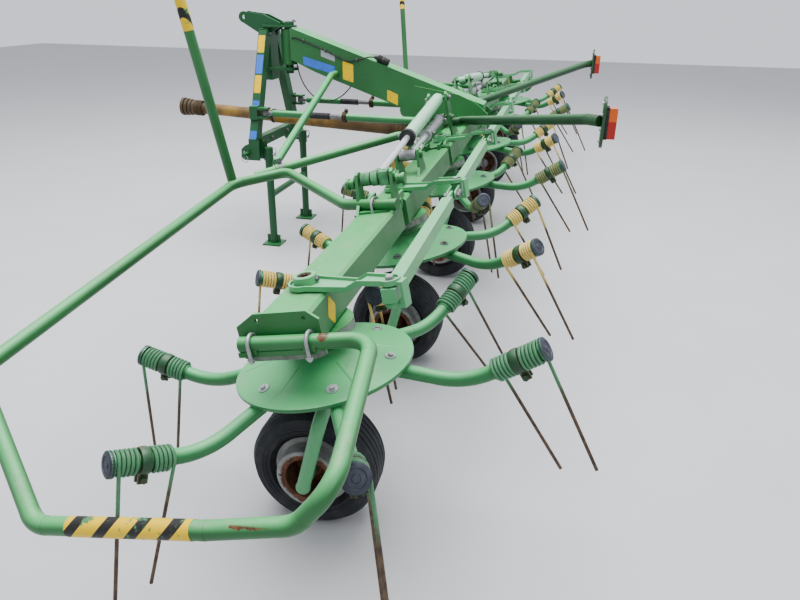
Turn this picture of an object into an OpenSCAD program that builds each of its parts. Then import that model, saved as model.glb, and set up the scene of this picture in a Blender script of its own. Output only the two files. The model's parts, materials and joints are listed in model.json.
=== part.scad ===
// Mounted hay tedder with six tilted rotors on folding beams, in millimetres.
// X points to the machine's right, Y to its front and Z up, with the floor at Z = 0.
// Beams, rotors and linkage are drawn in a leaned frame whose Z runs along the rotor axes.

/* [Rotors] */
// Distance between neighbouring rotor axes
rotor_pitch = 1060; // [1000:10:1200]
// Forward lean of every rotor axis, in degrees
rotor_lean = 11; // [6:1:14]
// Height of the point about which the rotor axes lean
lean_height = 402; // [390:1:420]
// Radius of the dished rotor plate
dish_r = 262; // [240:1:280]
// Height of the plate's rim along the axis
dish_rim_h = 158; // [150:1:166]
// Height of the plate's middle along the axis
dish_top_h = 212; // [204:1:218]
// Wall of the rotor plate
dish_wall = 5; // [3:0.5:7]
// Number of tine arms on a rotor
arm_count = 6; // [5:1:7]
// Outer radius of the arm tube
arm_tube_r = 21; // [18:0.5:23]
// Radius from the axis to the end of an arm
arm_end_r = 640; // [600:5:650]
// Height of the arm's end along the axis
arm_end_h = 183; // [170:1:195]
// Radius at which the arm bends up
arm_knee_r = 420; // [390:5:440]
// Height of that bend along the axis
arm_knee_h = 84; // [76:1:96]

/* [Tines] */
// Radius of the spring wire
wire_r = 5; // [4:0.25:6]
// Turns in one spring coil
coil_turns = 5; // [4:1:6]
// Distance between the turns of a coil
coil_pitch = 12; // [11:0.5:13]
// Length of the clamp between the two coils
clamp_len = 32; // [26:1:38]
// Height of the tine tips along the axis
tip_h = -185; // [-200:1:-160]
// Radius from the axis to the inner tine's tip
tip_in_r = 655; // [630:5:680]
// Radius from the axis to the outer tine's tip
tip_out_r = 752; // [720:2:770]

/* [Wheels] */
// Outer radius of the tyres
tyre_r = 203; // [190:1:215]
// Width of the tyres
tyre_w = 165; // [150:1:180]
// Radius of the rim's flange
rim_r = 116; // [108:1:122]
// Radius of the drum on the rim's outer side
drum_r = 98; // [90:1:102]
// Radius of the drum's hollow
drum_bore_r = 70; // [60:1:78]
// Radius of the stub axle
axle_r = 15; // [12:0.5:18]
// Distance of the axle ahead of the leaned axis foot
wheel_y = 60; // [40:5:80]
// Distance from the tyre's middle to the leg tube
leg_reach = 146; // [142:1:160]
// Outer radius of the wheel leg tube
leg_r = 21; // [18:0.5:23]

/* [Beams] */
// Width of the rotor beams
beam_w = 150; // [130:2:170]
// Lower face of the beams along the axis
beam_low = 285; // [280:1:295]
// Upper face of the beams along the axis
beam_high = 395; // [390:1:410]
// Width of the broken edges along the beams
beam_edge = 9; // [5:1:14]
// Wall of the lugs and gussets
plate_t = 12; // [8:1:15]
// Distance from a rotor axis outwards to its fold axis
fold_off = 190; // [180:2:210]
// Gap between a beam's end and its fold axis
fold_gap = 34; // [30:1:45]
// Radius of the fold pins
fold_pin_r = 14; // [11:0.5:16]
// Radius of the gear housing under a beam
gear_r = 112; // [100:1:118]

/* [Swivel linkage] */
// Reach of a crank behind its axis
crank_y = 272; // [255:1:290]
// Shift of a crank's pin to the left
crank_x = 78; // [60:1:90]
// Width of the square link rods
link_w = 40; // [32:1:44]
// Radius of the crank pins
crank_pin_r = 8; // [6:0.5:10]

/* [Fold cylinders] */
// Distance of the tower pins from the middle
tower_x = 450; // [430:5:470]
// Height of the long cylinder's tower pin
lift_pin_h = 617; // [600:1:630]
// Height of the short cylinder's tower pin
short_pin_h = 510; // [505:1:520]
// Distance of the long cylinder's eye from the middle
lift_eye_x = 1840; // [1830:5:1860]
// Height of that eye
lift_eye_h = 509; // [500:1:520]
// Distance of the short cylinder's eye from the middle
short_eye_x = 1300; // [1280:5:1320]
// Height of that eye
short_eye_h = 480; // [475:1:486]
// Outer radius of the long cylinder's barrel
barrel_r = 32; // [28:0.5:33]
// Outer radius of the short cylinder's barrel
short_r = 25; // [22:0.5:26]
// Radius of the cylinder rods
rod_r = 14; // [12:0.5:16]

/* [Main frame] */
// Distance of the headstock's swivel pin ahead of the middle
swivel_y = 1170; // [1150:5:1200]
// Height of the main beam's top at the swivel
main_front_z = 1330; // [1310:5:1350]
// Height of the main beam's top at its rear end
main_rear_z = 930; // [915:5:945]
// Depth of the main beam
main_d = 190; // [170:5:200]
// Width of the main beam
main_w = 160; // [150:2:180]
// Distance from the middle to the outer cheek of a lower hitch pin
hitch_half = 376; // [370:1:382]
// Height of the lower hitch pins
hitch_z = 610; // [590:5:630]
// Distance of the hitch pins ahead of the middle
hitch_y = 1330; // [1320:5:1345]
// Height of the top link pin
top_link_z = 1385; // [1375:5:1400]
// Distance from the middle to a parking leg
stand_x = 300; // [285:5:305]
// Outer radius of the parking legs
stand_r = 24; // [20:1:26]

/* [Guards and lights] */
// Outer radius of the guard tube
guard_r = 21; // [17:0.5:23]
// Distance of the guard's outer run from the middle
guard_x = 3372; // [3365:1:3385]
// Distance from the middle to a lamp
lamp_x = 1230; // [1200:5:1260]
// Place of the lamp boards ahead of the rotor line, so a minus lies behind it
lamp_y = -745; // [-770:1:-730]
// Height of the lamps
lamp_z = 1062; // [1050:1:1075]

/* [Hidden] */
$fn = 32;
// Running clearance at pins and shafts
pin_gap = 0.1;
// Gap at which a piece rests against its seat
seat_gap = 0.3;
// Distance of the plan's middle ahead of the rotor line
plan_mid_y = 586;
wheel_row = [for (i = [0:5]) (i - 2.5) * rotor_pitch];
fold_in_x = rotor_pitch / 2 + fold_off;
fold_out_x = rotor_pitch * 3 / 2 + fold_off;
// The fold axes run through the middle of the link rods
fold_h = beam_high - 2;

paint = [0.28, 0.52, 0.33];
paint_dark = [0.16, 0.36, 0.22];
steel = [0.6, 0.61, 0.62];

// Vector helpers

function unit(v) = v / norm(v);
function side_of(z) = abs(z[2]) < 0.9 ? unit(cross([0, 0, 1], z)) : unit(cross([1, 0, 0], z));
function turn_of(a, b, c) = acos(max(-1, min(1, unit(b - a) * unit(c - b))));
function cut_of(a, b, c, r) = r * tan(turn_of(a, b, c) / 2);

// Puts its children at p with their Z along z and their X along x
module placed(p, x, z) {
    y = cross(z, x);
    multmatrix([
        [x[0], y[0], z[0], p[0]],
        [x[1], y[1], z[1], p[1]],
        [x[2], y[2], z[2], p[2]],
        [0, 0, 0, 1]
    ]) children();
}

module bar(p, q, r) {
    z = unit(q - p);
    placed(p, side_of(z), z) cylinder(h = norm(q - p), r = r);
}

// A round tube through points, with the same bend radius at each inner point
// A bend is a hair thicker than its straights, which reach a little way into it
module bent_bar(pts, bend, r) {
    lap = 3;
    swell = 0.4;
    n = len(pts);
    cuts = [for (i = [0:n - 1]) i == 0 || i == n - 1 ? 0 : cut_of(pts[i - 1], pts[i], pts[i + 1], bend)];
    for (i = [0:n - 2]) {
        d = unit(pts[i + 1] - pts[i]);
        bar(pts[i] + d * (i == 0 ? 0 : cuts[i] - lap), pts[i + 1] - d * (i == n - 2 ? 0 : cuts[i + 1] - lap), r);
    }
    for (i = [1:n - 2]) {
        u = unit(pts[i] - pts[i - 1]);
        v = unit(pts[i + 1] - pts[i]);
        inward = unit(v - u * (u * v));
        placed(pts[i] - u * cuts[i] + inward * bend, -inward, cross(-inward, u))
            rotate_extrude(angle = turn_of(pts[i - 1], pts[i], pts[i + 1]))
                translate([bend, 0]) circle(r = r + swell);
    }
}

// Moves the rotor line's frame to the plan's middle
module in_plan() translate([0, -plan_mid_y, 0]) children();

// The leaned frame: Z along the rotor axes
module leaned() in_plan() translate([0, 0, lean_height]) rotate([-rotor_lean, 0, 0]) children();

module both_sides() {
    children();
    mirror([1, 0, 0]) children();
}

module on_side(side) {
    if (side < 0) mirror([1, 0, 0]) children();
    else children();
}

module box(x0, x1, y0, y1, z0, z1) translate([x0, y0, z0]) cube([x1 - x0, y1 - y0, z1 - z0]);

// A plate in the X-Z plane, its middle at y
module flat_plate(pts, y, t) translate([0, y + t / 2, 0]) rotate([90, 0, 0]) linear_extrude(t) polygon(pts);

// A plate in the Y-Z plane, its middle at x
module side_plate(pts, x, t) translate([x - t / 2, 0, 0]) rotate([90, 0, 90]) linear_extrude(t) polygon(pts);

module y_pin(x, h, half, r) translate([x, half, h]) rotate([90, 0, 0]) cylinder(h = 2 * half, r = r);

// Rotors

hub_low = 108;
hub_high = 229;
hub_r = 62;
arm_pts = [[70, 0, dish_rim_h + 2], [arm_knee_r, 0, arm_knee_h], [arm_end_r, 0, arm_end_h]];
arm_dir = unit(arm_pts[2] - arm_pts[1]);
sleeve_r = arm_tube_r + 3.5;
coil_gap = 0.6;
coil_len = coil_turns * coil_pitch;
pair_len = 2 * coil_len + clamp_len;
cap_t = 10;
coil_mid_r = sleeve_r + coil_gap + wire_r;
bolt_ring_r = 210;
function phase_of(i) = i % 2 == 0 ? -94 : -56;
// Neighbouring rotors turn opposite ways
function hand_of(i) = i % 2 == 0 ? 1 : -1;

// Places its children along an arm's coil axis, with Z outwards and X up
module on_arm_end(s) placed(arm_pts[2] + arm_dir * s, cross([0, 1, 0], arm_dir), arm_dir) children();

module dish() {
    slope = (dish_top_h - dish_rim_h) / (dish_r - hub_r);
    rotate_extrude() polygon([
        [0, hub_low], [hub_r, hub_low], [hub_r, dish_top_h - dish_wall],
        [dish_r - 6, dish_rim_h - dish_wall + 6 * slope], [dish_r - 6, dish_rim_h - 12],
        [dish_r, dish_rim_h - 12], [dish_r, dish_rim_h], [hub_r, dish_top_h],
        [hub_r, hub_high], [0, hub_high]
    ]);
}

module arm() {
    bent_bar(arm_pts, 250, arm_tube_r);
    on_arm_end(-pair_len) cylinder(h = pair_len, r = sleeve_r);
    on_arm_end(0) cylinder(h = cap_t, r = coil_mid_r + wire_r - 1);
    // The bolt post that ties the arm to the plate
    translate([bolt_ring_r, 0, arm_knee_h + 44]) cylinder(h = 44, r = 15);
}

module rotor(i) {
    color(paint) leaned() translate([wheel_row[i], 0, 0]) difference() {
        union() {
            dish();
            for (k = [0:arm_count - 1]) rotate([0, 0, phase_of(i) + k * 360 / arm_count]) arm();
        }
        translate([0, 0, hub_low - 60]) cylinder(h = 200, r = leg_r + 1);
    }
}

// One sprung pair: two coils, the clamp between them and a tine from each
module tine_pair(hand) {
    bore = sleeve_r + coil_gap;
    out = coil_mid_r + 1;
    waist = coil_mid_r - 2;
    on_arm_end(-pair_len) rotate_extrude() polygon([
        [bore, 0], [out, 0], [out, coil_len], [waist, coil_len],
        [waist, coil_len + clamp_len], [out, coil_len + clamp_len], [out, pair_len - seat_gap], [bore, pair_len - seat_gap]
    ]);
    on_arm_end(-coil_len - clamp_len) translate([bore + 1, -12, 4]) cube([out + 13 - bore, 24, clamp_len - 8]);
    // A tine leaves each coil's outer turn on one side and runs to its tip
    for (c = [0, 1]) {
        s_leg = c == 0 ? -pair_len + wire_r + 2 : -wire_r - 2;
        root = arm_pts[2] + arm_dir * s_leg + [0, hand * (out + 0.5), 4];
        bar(root, [c == 0 ? tip_in_r : tip_out_r, -hand * 10, tip_h], wire_r);
    }
}

module tines(i) {
    color([0.3, 0.24, 0.18]) leaned() translate([wheel_row[i], 0, 0])
        for (k = [0:arm_count - 1]) rotate([0, 0, phase_of(i) + k * 360 / arm_count]) tine_pair(hand_of(i));
}

// Wheels and legs

// The wheel's middle in the leaned frame
wheel_p = [0,
    wheel_y * cos(rotor_lean) - (tyre_r - lean_height) * sin(rotor_lean),
    wheel_y * sin(rotor_lean) + (tyre_r - lean_height) * cos(rotor_lean)];
crank_low = beam_high + 1;
crank_high = beam_high + 35;
knee_h = 62;
module at_wheel(i) leaned() translate([wheel_row[i], 0, 0] + wheel_p) on_side(sign(wheel_row[i])) rotate([0, 90, 0]) children();

// Half the width of the tyre at its bead
bead = tyre_w * 0.36;

module tyre(i) {
    color([0.09, 0.09, 0.09]) at_wheel(i) rotate_extrude() difference() {
        union() {
            polygon([
                [rim_r - 4, -bead], [rim_r + 7, -bead], [rim_r + 20, -tyre_w * 0.47], [tyre_r - 42, -tyre_w / 2],
                [tyre_r - 16, -tyre_w * 0.46], [tyre_r - 3, -tyre_w * 0.34], [tyre_r, -tyre_w * 0.2],
                [tyre_r, tyre_w * 0.2], [tyre_r - 3, tyre_w * 0.34], [tyre_r - 16, tyre_w * 0.46],
                [tyre_r - 42, tyre_w / 2], [rim_r + 20, tyre_w * 0.47], [rim_r + 7, bead], [rim_r - 4, bead]
            ]);
        }
        for (g = [-2:2]) translate([tyre_r - 6, g * 22 - 2]) square([10, 4]);
    }
}

// The rim, with its flanges, drum and hub in one turned section
module rim(i) {
    seat = rim_r - 4 - seat_gap;
    edge = bead + seat_gap;
    color(steel) at_wheel(i) rotate_extrude() polygon([
        [axle_r + pin_gap, -30], [axle_r + 22, -30], [axle_r + 22, 4], [drum_bore_r + 12, 4],
        [seat - 20, -20], [seat - 6, -edge], [seat - 2, -edge - 5], [rim_r + 4, -edge - 5], [rim_r + 4, -edge],
        [seat, -edge], [seat, -28], [seat - 10, -14], [seat - 10, 26], [seat, 40], [seat, edge],
        [rim_r + 4, edge], [rim_r + 4, edge + 5], [drum_r + 4, edge + 5], [drum_r, 112],
        [drum_bore_r, 112], [drum_bore_r, 24], [axle_r + 26, 24], [axle_r + 20, 40], [axle_r + pin_gap, 40]
    ]);
}

module leg(i) {
    side = sign(wheel_row[i]);
    out = side * leg_reach;
    color(paint) leaned() translate([wheel_row[i], 0, 0]) {
        difference() {
            union() {
                bent_bar([[0, 0, crank_high], [0, 0, knee_h], [out, -8, knee_h - 22], wheel_p + [out, 0, 0]], 42, leg_r);
                translate([0, 0, crank_low]) cylinder(h = crank_high - crank_low, r = 34);
                crank();
            }
            translate([-crank_x, -crank_y, crank_low - 80]) cylinder(h = 160, r = crank_pin_r + pin_gap);
        }
        // The stub axle
        translate(wheel_p + [out, 0, 0]) sphere(r = leg_r + 2);
        bar(wheel_p + [out, 0, 0], wheel_p + [side * -38, 0, 0], axle_r);
    }
}

// The crank: an arm over the beam that ends in a fork about the link rod
module crank() {
    reach = norm([crank_x, crank_y]);
    turn = atan2(-crank_y, -crank_x);
    low = fold_h - link_w / 2 - 18;
    far = fold_h + link_w / 2 + 5;
    rotate([0, 0, turn]) {
        // The pressed lever steps up over the link rod and has a rib along each edge
        difference() {
            crank_slab(reach, 0, [[-70, crank_low + 4], [160, crank_low + 4], [196, far], [reach + 70, far]], 15);
            crank_slab(reach, 6, [[-80, crank_low + 11], [161, crank_low + 11], [197, far + 7], [reach + 60, far + 7]], 30);
        }
        // The eye's wall and foot wrap the rod
        box(reach + 36, reach + 44, -16, 16, low, far + 10);
        box(reach, reach + 44, -16, 16, low, low + plate_t);
        translate([reach, 0, low]) cylinder(h = plate_t, r = 24);
        box(reach, reach + 44, -16, 16, far, far + 10);
    }
}

// The lever's outline in plan, drawn in by e, where its side view runs over the given low line
module crank_slab(reach, e, line, t) {
    intersection() {
        translate([0, 0, 300]) linear_extrude(200) union() {
            circle(r = 50 - e);
            circle_at([reach, 0], 29 - e);
            polygon([[0, 44 - e], [reach, 25 - e], [reach, -25 + e], [0, -44 + e]]);
        }
        translate([0, 60, 0]) rotate([90, 0, 0]) linear_extrude(120)
            polygon(concat(line, [for (k = [len(line) - 1:-1:0]) line[k] + [0, t]]));
    }
}

module circle_at(p, r) translate(p) circle(r = r);

// Link rods

ear_r = 18;
tongue_len = 96;
module link_body(x0, x1) box(x0, x1, -crank_y - link_w / 2, -crank_y + link_w / 2, fold_h - link_w / 2, fold_h + link_w / 2);

module link_ears(x, inward) {
    for (s = [-1, 1]) translate([0, s * 15, 0]) {
        y_disc(x, -crank_y, fold_h, ear_r, 6);
        box(min(x, x + inward * tongue_len), max(x, x + inward * tongue_len),
            -crank_y - 3, -crank_y + 3, fold_h - ear_r, fold_h + ear_r);
    }
}

module link_tongue(x, inward) {
    y_disc(x, -crank_y, fold_h, ear_r, 12);
    box(min(x, x + inward * tongue_len), max(x, x + inward * tongue_len),
        -crank_y - 6, -crank_y + 6, fold_h - ear_r, fold_h + ear_r);
}

module y_disc(x, y, h, r, t) translate([x, y + t / 2, h]) rotate([90, 0, 0]) cylinder(h = t, r = r);

module link_pin(x) {
    translate([x - crank_x, -crank_y, fold_h - link_w / 2 - 22]) cylinder(h = link_w + 44, r = crank_pin_r);
}

module link_mid() {
    color(paint) leaned() {
        link_body(-fold_in_x + tongue_len, fold_in_x - tongue_len);
        for (s = [-1, 1]) link_ears(s * fold_in_x, -s);
        for (i = [2, 3]) link_pin(wheel_row[i]);
    }
}

module link_in(side) {
    i = side < 0 ? 1 : 4;
    color(paint) leaned() {
        link_body(min(side * (fold_in_x + tongue_len), side * (fold_out_x - tongue_len)),
            max(side * (fold_in_x + tongue_len), side * (fold_out_x - tongue_len)));
        link_tongue(side * fold_in_x, side);
        link_ears(side * fold_out_x, -side);
        link_pin(wheel_row[i]);
    }
}

module link_out(side) {
    i = side < 0 ? 0 : 5;
    x_end = wheel_row[i] - crank_x + side * (side < 0 ? 34 : 34);
    x_in = side * (fold_out_x + tongue_len);
    color(paint) leaned() {
        link_body(min(x_end, x_in), max(x_end, x_in));
        link_tongue(side * fold_out_x, side);
        link_pin(wheel_row[i]);
    }
}

// Beams

lug_y = 58;
// The input gearbox: its front, its top, half its width and the height of its nose
gear_y = 222;
gear_top = 475;
gear_half = 95;
nose_h = 400;
clamp_y = -72;
lug_in_y = 36;
// Half the distance between the plates of the short and of the long cylinder's eye
short_half = 50;
lift_half = 69;
module gear_housing(x) {
    translate([x, 0, hub_high + 6]) {
        cylinder(h = 22, r1 = gear_r - 34, r2 = gear_r);
        translate([0, 0, 22]) cylinder(h = beam_low - hub_high - 28, r = gear_r);
    }
}

module leg_bore(x) translate([x, 0, 0]) cylinder(h = beam_high + 60, r = leg_r + pin_gap);

// Lugs that carry a fold pin, outside (s = 1) the neighbour's own lugs
module fold_lugs(x, from_x, y, bore) {
    w = 30;
    for (s = [-1, 1]) difference() {
        union() {
            box(min(x, from_x), max(x, from_x), s * y - plate_t / 2, s * y + plate_t / 2, fold_h - w, fold_h + w);
            y_disc(x, s * y, fold_h, w, plate_t);
        }
        if (bore) y_pin(x, fold_h, beam_w, fold_pin_r + pin_gap);
    }
}

// A length of beam, with its long edges broken
module beam_box(x0, x1) {
    e = beam_edge;
    w = beam_w / 2;
    translate([min(x0, x1), 0, 0]) rotate([90, 0, 90]) linear_extrude(abs(x1 - x0)) polygon([
        [-w + e, beam_low], [w - e, beam_low], [w, beam_low + e], [w, beam_high - e],
        [w - e, beam_high], [-w + e, beam_high], [-w, beam_high - e], [-w, beam_low + e]
    ]);
}

module centre_beam() {
    color(paint) leaned() difference() {
        union() {
            beam_box(-fold_in_x + fold_gap, fold_in_x - fold_gap);
            for (i = [2, 3]) gear_housing(wheel_row[i]);
            for (s = [-1, 1]) {
                fold_lugs(s * fold_in_x, s * (fold_in_x - fold_gap - 40), lug_y, false);
                y_pin(s * fold_in_x, fold_h, lug_y + plate_t, fold_pin_r);
                for (e = [-1, 1]) tower_lug(s, e);
            }
            // Input gearbox ahead of the beam, with its flange and nose
            gearbox();
        }
        for (i = [2, 3]) leg_bore(wheel_row[i]);
        for (i = [2, 3]) translate([wheel_row[i], 0, beam_high]) cylinder(h = 60, r = 42);
    }
}

module gearbox() {
    side_plate([
        [beam_w / 2 - 5, beam_low + 10], [190, beam_low + 10], [gear_y, 330], [gear_y, 455],
        [190, gear_top], [110, gear_top], [beam_w / 2 - 5, 430]
    ], 0, 2 * gear_half);
    translate([0, gear_y - 2, nose_h]) rotate([-90, 0, 0]) cylinder(h = 16, r = 66);
    translate([0, gear_y + 10, nose_h]) rotate([-90, 0, 0]) cylinder(h = 36, r = 46);
}

// One of the two tower plates that hold both cylinder pins of a side
module tower_lug(s, e) {
    x = s * tower_x;
    flat_plate([
        [s * (tower_x - 196), beam_high - 5], [s * (tower_x - 5), beam_high - 5], [s * (tower_x - 5), beam_high + 30],
        [s * (tower_x + 34), short_pin_h - 34], [s * (tower_x + 30), short_pin_h + 26],
        [s * (tower_x + 36), lift_pin_h - 12], [s * (tower_x + 26), lift_pin_h + 22], [s * (tower_x + 4), lift_pin_h + 34],
        [s * (tower_x - 26), lift_pin_h + 24], [s * (tower_x - 60), lift_pin_h - 40], [s * (tower_x - 104), beam_high + 62]
    ], e * 48, plate_t);
    if (e > 0) for (h = [short_pin_h, lift_pin_h]) y_pin(x, h, 62, 12);
    for (h = [short_pin_h, lift_pin_h]) y_disc(x, e * 57, h, 20, 8);
}

module beam_eye(x, h, half, low, high) {
    for (s = [-1, 1]) {
        flat_plate([
            [x + low, beam_high - 5], [x + high, beam_high - 5], [x + high * 0.55, beam_high + 34],
            [x + 29, h + 6], [x + 22, h + 24], [x, h + 32], [x - 22, h + 24], [x - 29, h + 6], [x + low, beam_high + 20]
        ], s * half, plate_t);
        // Heads of the cylinder's pin
        y_disc(x, s * (half + plate_t / 2 + 4), h, 19, 8);
        y_disc(x, s * (half + plate_t / 2 + 9), h, 12, 6);
    }
}

// The long cylinder's wide eye on an outer beam, with a grooved knob at each end of its pin
module lift_eye() {
    beam_eye(lift_eye_x, lift_eye_h, lift_half, -16, 104);
    for (s = [-1, 1]) for (k = [0:2])
        y_disc(lift_eye_x + 4, s * (lift_half + 20 + k * 11), lift_eye_h - 12, k % 2 == 0 ? 22 : 18, 11.5);
}

module inner_beam(side) {
    i = side < 0 ? 1 : 4;
    color(paint) leaned() difference() {
        union() {
            beam_box(side * (fold_in_x + fold_gap), side * (fold_out_x - fold_gap));
            gear_housing(wheel_row[i]);
            fold_lugs(side * fold_in_x, side * (fold_in_x + fold_gap + 40), lug_in_y, true);
            fold_lugs(side * fold_out_x, side * (fold_out_x - fold_gap - 40), lug_y, false);
            y_pin(side * fold_out_x, fold_h, lug_y + plate_t, fold_pin_r);
            on_side(side) beam_eye(short_eye_x, short_eye_h, short_half, -66, 78);
            inner_guard(side);
        }
        leg_bore(wheel_row[i]);
    }
}

// The bar ahead of an inner rotor, from the beam out to the guard arm
module inner_guard(side) {
    on_side(side) {
        bent_bar([[905, 54, beam_high - 8], [915, 100, 520], [1351, 745, 489]], 60, guard_r);
        bar([1266, 619, 495], [1294, 661, 493], guard_r + 5);
    }
}

module outer_beam(side) {
    i = side < 0 ? 0 : 5;
    x_rotor = rotor_pitch * 5 / 2;
    color(paint) leaned() difference() {
        union() {
            beam_box(side * (fold_out_x + fold_gap), side * (x_rotor + 180));
            gear_housing(wheel_row[i]);
            fold_lugs(side * fold_out_x, side * (fold_out_x + fold_gap + 40), lug_in_y, true);
            on_side(side) lift_eye();
            on_side(side) outer_guard(x_rotor);
        }
        leg_bore(wheel_row[i]);
    }
}

// The folded end plate of an outer beam, with its shelf under the guard tube
module guard_bracket(x0, x_clamp, h) {
    top = beam_high + 6;
    low = beam_low - 22;
    difference() {
        side_plate([
            [-98, low + 10], [-98, top - 26], [-66, top], [84, top], [140, top - 34], [140, low + 10], [110, low], [-70, low]
        ], x0 + 5, 10);
        for (y = [-58, 76]) translate([x0 - 20, y, top - 20]) rotate([0, 90, 0]) cylinder(h = 60, r = 6);
    }
    box(x0, x_clamp + 14, -92, 134, h - guard_r - 12, h - guard_r + 2);
    // Saddles under the clamps
    for (y = [clamp_y, clamp_y + 165]) box(x_clamp - 18, x_clamp + 18, y - 17, y + 17, h - guard_r - 4, h - 8);
}

// The guard about an outer rotor, drawn for the right side
module outer_guard(x_rotor) {
    x_clamp = x_rotor + 208;
    h_clamp = beam_low + 42;
    corner = [1672, 692, 525];
    guard_bracket(x_rotor + 175, x_clamp, h_clamp);
    bent_bar([
        [x_clamp, 128, h_clamp], [x_clamp - 6, -238, h_clamp - 8], [guard_x - 36, -285, 248],
        [guard_x - 20, -190, 165], [guard_x, 0, 165], [guard_x, 425, 165],
        [guard_x - 262, 725, 410], corner, [1585, 470, 530],
        [1862, 137, 425], [1922, -92, 419]
    ], 70, guard_r);
    // The post that rises from the inner corner
    bar(corner, corner + [135, -60, 800], guard_r - 1);
    // The cradle under the tube's inner end
    side_plate([[-70, beam_high - 5], [64, beam_high - 5], [64, beam_high + 8], [-70, beam_high + 8]], 1906, 44);
}

// Fold cylinders

lift_from = [tower_x, 0, lift_pin_h];
lift_to = [lift_eye_x, 0, lift_eye_h];
short_from = [tower_x, 0, short_pin_h];
short_to = [short_eye_x, 0, short_eye_h];
barrel_wall = 6;

// Places its children on a cylinder's line, Z towards the rod's eye
module on_line(p, q) placed(p, [0, 1, 0], unit(q - p)) children();

module cyl_barrel(p, q, len, r) {
    on_line(p, q) difference() {
        union() {
            translate([0, 0, 17]) cylinder(h = len - 17, r = r);
            translate([0, 0, len - 26]) cylinder(h = 26, r = r + 5);
            rotate([0, 90, 0]) translate([0, 0, -22]) cylinder(h = 44, r = 22);
        }
        translate([0, 0, 46]) cylinder(h = len - 46 - 24, r = r - barrel_wall);
        translate([0, 0, 40]) cylinder(h = len, r = rod_r + pin_gap);
        rotate([0, 90, 0]) translate([0, 0, -60]) cylinder(h = 120, r = 12 + pin_gap);
    }
}

// The rod, its piston and the eye with its pin, which stops short of the plates beside it
module cyl_rod(p, q, from_s, r, half) {
    d = norm(q - p);
    on_line(p, q) {
        translate([0, 0, from_s]) cylinder(h = d - from_s - 10, r = rod_r);
        translate([0, 0, from_s]) cylinder(h = 34, r = r - barrel_wall - seat_gap);
        translate([0, 0, d - 62]) cylinder(h = 26, r = rod_r + 6);
        translate([0, 0, d]) rotate([0, 90, 0]) translate([0, 0, -half + 12]) cylinder(h = 2 * half - 24, r = 12);
        if (half > short_half) {
            // A flat eye, a bush on one side of it and a square block on the other
            placed([0, 0, d], [0, 1, 0], [1, 0, 0]) {
                translate([0, 0, -13]) cylinder(h = 26, r = 29);
                translate([0, 0, 18]) cylinder(h = half - 34, r = 26);
                translate([-27, -22, -half + 14]) cube([54, 44, half - 32]);
            }
            box(-11, 11, -20, 20, d - 48, d);
        } else placed([0, 0, d], [0, 1, 0], [1, 0, 0]) translate([0, 0, -half + 11]) cylinder(h = 2 * half - 22, r = 24);
    }
}

lift_len = 820;
fold_len = 460;
module lift_barrel(side) color(paint) leaned() on_side(side) cyl_barrel(lift_from, lift_to, lift_len, barrel_r);
module lift_rod(side) color(steel) leaned() on_side(side) cyl_rod(lift_from, lift_to, lift_len - 90, barrel_r, lift_half);
module fold_barrel(side) color(steel) leaned() on_side(side) cyl_barrel(short_from, short_to, fold_len, short_r);
module fold_rod(side) color(steel) leaned() on_side(side) cyl_rod(short_from, short_to, fold_len - 84, short_r, short_half);

// Main beam and front end

main_rear_y = -95;
main_slope = (main_front_z - main_rear_z) / (swivel_y - main_rear_y - 60);
pin_tube_r = 46;
pin_r = 24;
swivel_low = 1080;

module main_beam() {
    front = swivel_y - 60;
    cheek_x = main_w / 2 + plate_t / 2;
    color(paint) in_plan() difference() {
        union() {
            side_plate([
                [main_rear_y, main_rear_z - main_d + 30], [main_rear_y, main_rear_z],
                [front, main_front_z], [front + 20, main_front_z], [front + 20, main_front_z - main_d + 10],
                [front - 140, main_front_z - main_d - 60], [260, main_rear_z + 355 * main_slope - main_d - 20]
            ], 0, main_w);
            translate([0, swivel_y, swivel_low + 35]) cylinder(h = main_front_z - swivel_low - 40, r = pin_tube_r);
            box(-40, 40, front - 10, swivel_y, swivel_low + 60, main_front_z - 10);
            // Cheeks with an S-shaped front edge, from the beam down on to the rotor beam
            for (s = [-1, 1]) side_plate([
                [main_rear_y - 30, 780], [main_rear_y - 30, 880], [-40, 945], [60, 985], [330, 1024], [352, 996], [362, 962],
                [386, 930], [412, 904], [422, 880], [414, 852], [388, 828], [330, 800], [200, 780]
            ], s * cheek_x, plate_t);
        }
        translate([0, swivel_y, swivel_low - 50]) cylinder(h = 400, r = pin_r + pin_gap);
        leaned_cut() {
            box(-400, 400, -400, beam_w / 2 + seat_gap, 100, beam_high + seat_gap);
            box(-gear_half - seat_gap, gear_half + seat_gap, 0, gear_y + 60, 100, gear_top + seat_gap);
        }
    }
}

module leaned_cut() translate([0, 0, lean_height]) rotate([-rotor_lean, 0, 0]) children();

module guard_arms() {
    y = 835;
    color(paint) in_plan() both_sides()
        bent_bar([[main_w / 2 + seat_gap, y, 1075], [main_w / 2 + 90, y, 1075], [1215, 775, 775]], 60, guard_r - 1);
}

module damper_barrels() {
    color(paint_dark) in_plan() both_sides() difference() {
        union() {
            translate([stand_x, 190, 852]) rotate([-90, 0, 0]) cylinder(h = 530, r = 22);
            translate([stand_x, 706, 852]) rotate([-90, 0, 0]) cylinder(h = 20, r = 28);
            // The arm that ties the barrel to the cheek
            box(main_w / 2 + plate_t + seat_gap, stand_x, 192, 222, 852, 872);
        }
        translate([stand_x, 290, 852]) rotate([-90, 0, 0]) cylinder(h = 500, r = 14);
    }
}

module damper_rod(side) {
    color(steel) in_plan() on_side(side) {
        translate([stand_x, 520, 852]) rotate([-90, 0, 0]) cylinder(h = 690, r = 13.5);
        translate([stand_x, 1225, 838]) cylinder(h = 28, r = 20);
        translate([stand_x, 1225, 833]) cylinder(h = 38, r = 9);
    }
}

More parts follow.
